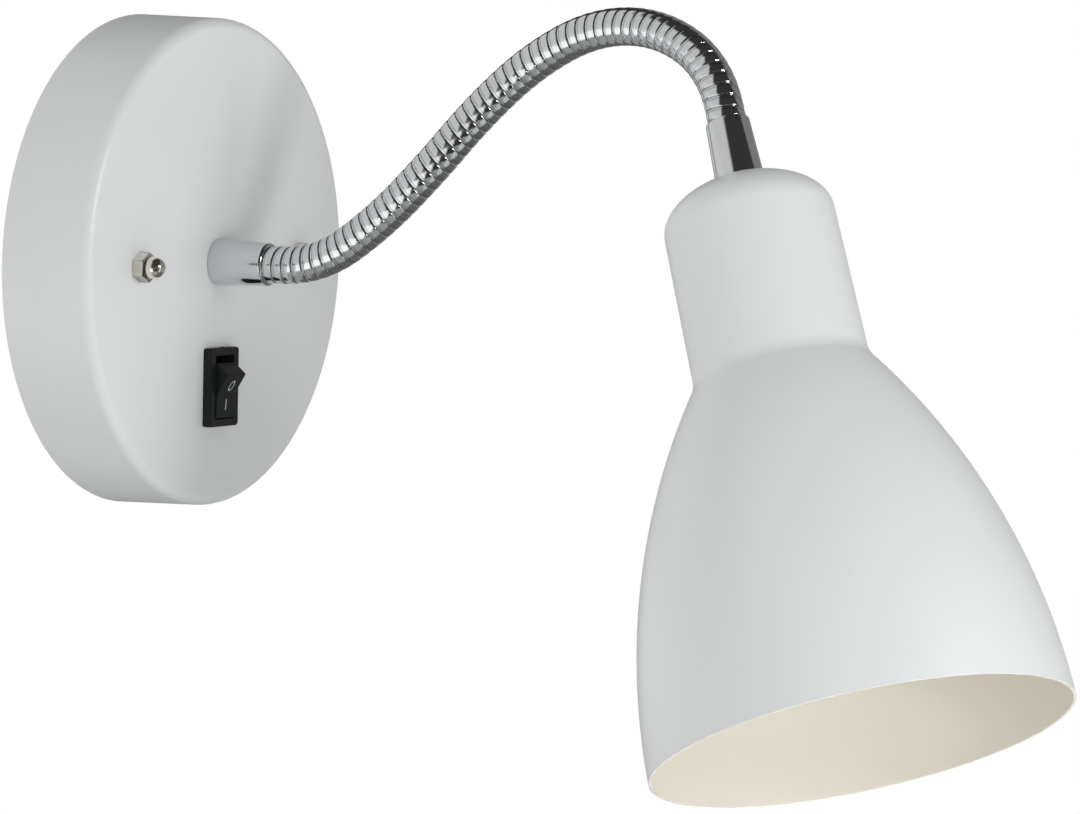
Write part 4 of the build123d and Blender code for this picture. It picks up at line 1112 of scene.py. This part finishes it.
def thread(name, place, low, high, radius, wall, pitch, depth, material, sides=72):
    """A threaded sleeve along a frame's z axis; sizes in millimetres."""
    rings = round((high - low) / pitch * RINGS_PER_TURN)
    ends = [place @ (Vector((0, 0, height)) * MM) for height in (low, high)]
    line = lay_lead(name + "_line", [ends[0], (ends[0] + ends[1]) / 2, ends[1]])
    made = grow(name, tube_tree, {
        "Line": line, "Rings": rings + 1, "Sides": sides, "Step": (high - low) * MM / rings,
        "Radius": radius * MM, "Plain Radius": radius * MM, "Pitch": pitch * MM, "Turns": 1.0, "Flank": 0.5,
        "Depth": depth * MM, "Ribs From": -MM, "Ribs To": 1.0, "From": -MM, "To": 1.0, "Material": material,
    })
    bpy.data.objects.remove(line)
    return solid_wall(made, wall * MM, sides)


FERRULE_THREAD = (5.0, 1.2, 1.0, 0.55, chrome)
LAMP_THREAD = (7.35, 0.35, 2.82, 0.5, brass, 96)
plate_tail = thread("plate_tail", PLATE_FRONT, -8.5, 0.5, *FERRULE_THREAD)
stands_for(plate_tail, "wall_unit", "base_ferrule")
shade_tail = thread("shade_tail", SHADE, -0.5, 11.5, *FERRULE_THREAD)
stands_for(shade_tail, "head", "head_ferrule")
lamp_thread = thread("lamp_thread", SHADE, 29.0, 52.4, *LAMP_THREAD)
stands_for(lamp_thread, "head", "screw_shell")

# %% [markdown]
# ## Marks on the switch
#
# The rocker carries a ring and a bar. Each is a thin piece laid on the slope of the rocker: its points are
# found by looking straight at the rocker along Y and taking the place where the look meets the surface.

# %% Print on the rocker
rocker = frame["nodes"]["switch_rocker"]
INK = 0.03 * MM


def on_rocker(x, z):
    """The point of the rocker seen from the front at this x and z, and the way its surface faces there."""
    hit, place, normal, _index = rocker.ray_cast(Vector((x, -0.1, z)), Vector((0, 1, 0)))
    if not hit:
        raise ValueError(f"nothing to print on at {x}, {z}")
    return place, normal


def printed(name, outline, hole=None):
    """A flat mark with a thickness of ink; the outline and the hole are (x, z) loops of the same length."""
    bm = bmesh.new()
    layers = []
    for height in (-INK, INK):
        loops = []
        for loop in (outline, hole or []):
            spots = [on_rocker(x, z) for x, z in loop]
            loops.append([bm.verts.new(place + normal * height) for place, normal in spots])
        layers.append(loops)
    low, high = layers
    count = len(outline)
    for index in range(count):
        after = (index + 1) % count
        bm.faces.new((low[0][index], low[0][after], high[0][after], high[0][index]))
        if hole:
            bm.faces.new((high[1][index], high[1][after], low[1][after], low[1][index]))
            bm.faces.new((high[0][index], high[0][after], high[1][after], high[1][index]))
            bm.faces.new((low[1][index], low[1][after], low[0][after], low[0][index]))
    if not hole:
        bm.faces.new(high[0])
        bm.faces.new(low[0][::-1])
    bmesh.ops.recalc_face_normals(bm, faces=bm.faces)
    return finish_mesh(name, bm, Matrix.Identity(4), printed_white, 80)


def oval(x, z, wide, tall, count=40):
    """A loop of points round an oval."""
    turns = [2 * math.pi * index / count for index in range(count)]
    return [(x + wide * math.cos(turn), z + tall * math.sin(turn)) for turn in turns]


# %% Lay the ring and the bar on the rocker
ring_x, ring_z = 0.5 * MM, -32.8 * MM
ring_mark = printed(
    "mark_off", oval(ring_x, ring_z, 1.15 * MM, 1.40 * MM), oval(ring_x, ring_z, 0.82 * MM, 1.07 * MM)
)
bar_foot, bar_head, half_bar = -0.1 * MM, 0.25 * MM, 0.2 * MM
bar_low, bar_high = -39.3 * MM, -36.4 * MM
bar_mark = printed("mark_on", [
    (bar_foot - half_bar, bar_low), (bar_foot + half_bar, bar_low),
    (bar_head + half_bar, bar_high), (bar_head - half_bar, bar_high),
])
for mark in (ring_mark, bar_mark):
    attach(mark, "rocker")
    print(f"{mark.name}: {len(mark.data.polygons)} faces on rocker")

# %% [markdown]
# ## The pieces that keep their CAD shape
#
# Everything else is small and already has its true shape, so it only changes its finish.

# %% Give the CAD pieces their finishes
finishes = {
    "white_paint": white_paint, "chrome": chrome, "nickel": nickel, "zinc_steel": zinc_steel,
    "switch_black": switch_black, "nylon": nylon, "brass": brass, "holder_plastic": holder_plastic,
    "brown_insulation": brown_insulation, "blue_insulation": blue_insulation,
    "earth_insulation": earth_insulation,
}
slot_of = {part["node"]: part["material_slot"] for part in frame["record"]["subparts"]}
for node, piece in frame["nodes"].items():
    piece.data.materials.clear()
    piece.data.materials.append(finishes[slot_of[node]])
print("CAD pieces finished:", len(frame["nodes"]))

# %% [markdown]
# ## Camera, studio and floor
#
# The camera stands where the photographer stood. Its place and its long lens were solved from the outline of
# the plate, the ferrules and the mouth of the shade.

# %% Set up the camera
def camera_axes(yaw, pitch, roll):
    """The camera's right, up and forward directions from its three angles in degrees."""
    yaw, pitch, roll = math.radians(yaw), math.radians(pitch), math.radians(roll)
    ahead = Vector((math.sin(yaw) * math.cos(pitch), math.cos(yaw) * math.cos(pitch), -math.sin(pitch)))
    right = ahead.cross(Vector((0, 0, 1))).normalized()
    up = right.cross(ahead)
    return (
        right * math.cos(roll) + up * math.sin(roll),
        up * math.cos(roll) - right * math.sin(roll),
        ahead,
    )


FOCAL_PIXELS = 7000
FRAME_PIXELS = 1080
right, up, ahead = camera_axes(61.18, 3.91, 1.16)
offset = Vector((-108.33, 39.87, 1875.0)) * MM
position = -(right * offset.x + up * offset.y + ahead * offset.z)
camera_data = bpy.data.cameras.new("camera")
camera_data.sensor_width = 36.0
camera_data.lens = 36.0 * FOCAL_PIXELS / FRAME_PIXELS
camera_data.clip_end = 20.0
camera = add_object("camera", camera_data)
camera.matrix_world = Matrix((
    (right.x, up.x, -ahead.x, position.x),
    (right.y, up.y, -ahead.y, position.y),
    (right.z, up.z, -ahead.z, position.z),
    (0, 0, 0, 1),
))
bpy.context.scene.camera = camera
bpy.context.scene.view_settings.view_transform = "Standard"
print("camera stands at", [round(value, 3) for value in position])

# %% [markdown]
# Three small softboxes light the lamp: a low key in front and to the left, a larger one straight in front and
# higher, and a weak one below the mouth that shines into the shade. Reflections show only the second.

# %% Light the studio
def softbox(name, place, aim, size, power, reflected=True):
    """A square area light that faces a point; the camera never sees it, and reflections only if asked."""
    data = bpy.data.lights.new(name, "AREA")
    data.shape = "SQUARE"
    data.size = size
    data.energy = power
    made = add_object(name, data)
    made.location = place
    made.rotation_euler = (Vector(aim) - Vector(place)).to_track_quat("-Z", "Y").to_euler()
    made.visible_camera = False
    made.visible_glossy = reflected
    print(f"{name} light: {power} W from {size} m")
    return made


softbox("key", (-0.34, -0.93, -0.08), (0, -0.05, 0), size=0.22, power=2.1, reflected=False)
softbox("front", (-0.05, -1.20, 0.30), (0, -0.10, 0), size=0.30, power=3.4)
mouth_middle = SHADE @ Vector((0, 0, MOUTH.y * MM))
before_mouth = mouth_middle + shade_axis * 0.25
fill = softbox("fill", before_mouth, mouth_middle, size=0.10, power=0.029, reflected=False)
fill.data.spread = math.radians(36)

# %% [markdown]
# Each kind of ray sees a room of its own. The camera sees white paper. Matt surfaces are lit by a smooth room
# that is brighter below and on the wall's side. Reflections, which are nearly all that metal shows, come from
# a dark room with a few bright parts that have soft edges: a wall on the camera's left, a low window, a table
# under it, the ground with one part in the shade, and a dim rear. A part is placed by its bearing, which is 0
# towards the camera and grows to the camera's right, and by its climb above the horizon.

# %% Find where a ray looks
world = bpy.data.worlds.new("studio")
bpy.context.scene.world = world
world.use_nodes = True
tree = world.node_tree
tree.nodes.clear()
start = Signal(tree)
ray = start.node("ShaderNodeTexCoord", output="Generated")


def towards(direction):
    """How far a ray looks along a direction: 1 straight along it, -1 away from it."""
    return ray.vector("DOT_PRODUCT", ray, tuple(direction), "Value")


to_right = towards(Vector((right.x, right.y, 0)).normalized())
to_camera = towards(Vector((-ahead.x, -ahead.y, 0)).normalized())
bearing = ray.math("ARCTAN2", to_right, to_camera) * (180 / math.pi)
climb = ray.math("ARCSINE", towards((0, 0, 1))) * (180 / math.pi)


def sector(angle, middle, half, edge):
    """1 where an angle is within half of the middle, 0 beyond a soft edge; all in degrees."""
    return 1.0 - ((ray.math("ABSOLUTE", angle - middle) - half) / edge).clamp()


def patch(across_it, up_it):
    """A part of the room, from the (middle, half, edge) of its bearing and of its climb."""
    return sector(bearing, *across_it) * sector(climb, *up_it)


# %% Make the room
ROOM_LEVEL = 0.92
ROOM_SLOPE = (-0.03, 0.55, -0.61)
GLOW = {"dark": 0.04, "wall": 0.64, "window": 0.95, "rear": 0.20, "ground": 0.10, "table": 0.24}
wall = patch((-95.0, 55.0, 10.0), (26.0, 31.0, 10.0))
window = patch((-50.0, 28.0, 14.0), (-24.0, 12.0, 8.0))
table = patch((-55.0, 95.0, 20.0), (-48.0, 24.0, 14.0))
shaded = patch((30.0, 40.0, 8.0), (-24.0, 10.0, 6.0))
rear = patch((140.0, 45.0, 10.0), (10.0, 30.0, 14.0))
ground = sector(climb, -60.0, 60.0, 14.0)
below = (ground * GLOW["ground"] + table * GLOW["table"]) * (1.0 - shaded)
seen = GLOW["dark"] + wall * GLOW["wall"] + window * GLOW["window"] + rear * GLOW["rear"] + below
grey = ray.node("ShaderNodeCombineColor", {}, {"Red": seen, "Green": seen, "Blue": seen})
studio = ray.node("ShaderNodeBackground", {}, {"Color": grey})
level_there = ROOM_LEVEL + towards(ROOM_SLOPE)
lighting = ray.node("ShaderNodeBackground", {}, {"Color": (1, 1, 1, 1), "Strength": level_there})
paper = ray.node("ShaderNodeBackground", {}, {"Color": (1, 1, 1, 1)})
path = ray.node("ShaderNodeLightPath", output="Is Camera Ray")
room = ray.node("ShaderNodeMixShader", {}, {0: path.other("Is Glossy Ray"), 1: lighting, 2: studio})
shown = ray.node("ShaderNodeMixShader", {}, {0: path, 1: room, 2: paper})
sink = tree.nodes.new("ShaderNodeOutputWorld")
tree.links.new(shown.socket, sink.inputs["Surface"])
print("nodes in the room:", len(tree.nodes))

# %% [markdown]
# The floor lies far below the lamp and shows only in views from other sides. To the camera it glows a little,
# so that it looks nearly as pale as paper, and reflections don't show it.

# %% Lay the floor
FLOOR_LEVEL = -0.42
FLOOR_HALF = 1.5
FLOOR_GLOW = 0.38
bm = bmesh.new()
bmesh.ops.create_grid(bm, x_segments=1, y_segments=1, size=FLOOR_HALF)
pale, pale_shader, pale_place = start_finish("pale_floor", (0.86,) * 3, 0.8, emission_strength=1.0)
feed(pale_shader, "Base Color", between((0.85,) * 3, (0.87,) * 3, noise(pale_place, 3.0)))
straight = pale_place.node("ShaderNodeLightPath", output="Is Camera Ray")
feed(pale_shader, "Emission Color", between((0, 0, 0), (FLOOR_GLOW,) * 3, straight))
floor = finish_mesh("floor", bm, Matrix.Translation((0, 0, FLOOR_LEVEL)), pale)
floor.visible_glossy = False
print(f"floor {-FLOOR_LEVEL / MM:.0f} mm below the plate's middle")

# %% [markdown]
# ## Finish
#
# The line that the hose was grown along is no longer needed and is removed.

# %% Remove the hose's line
bpy.data.objects.remove(neck_line)
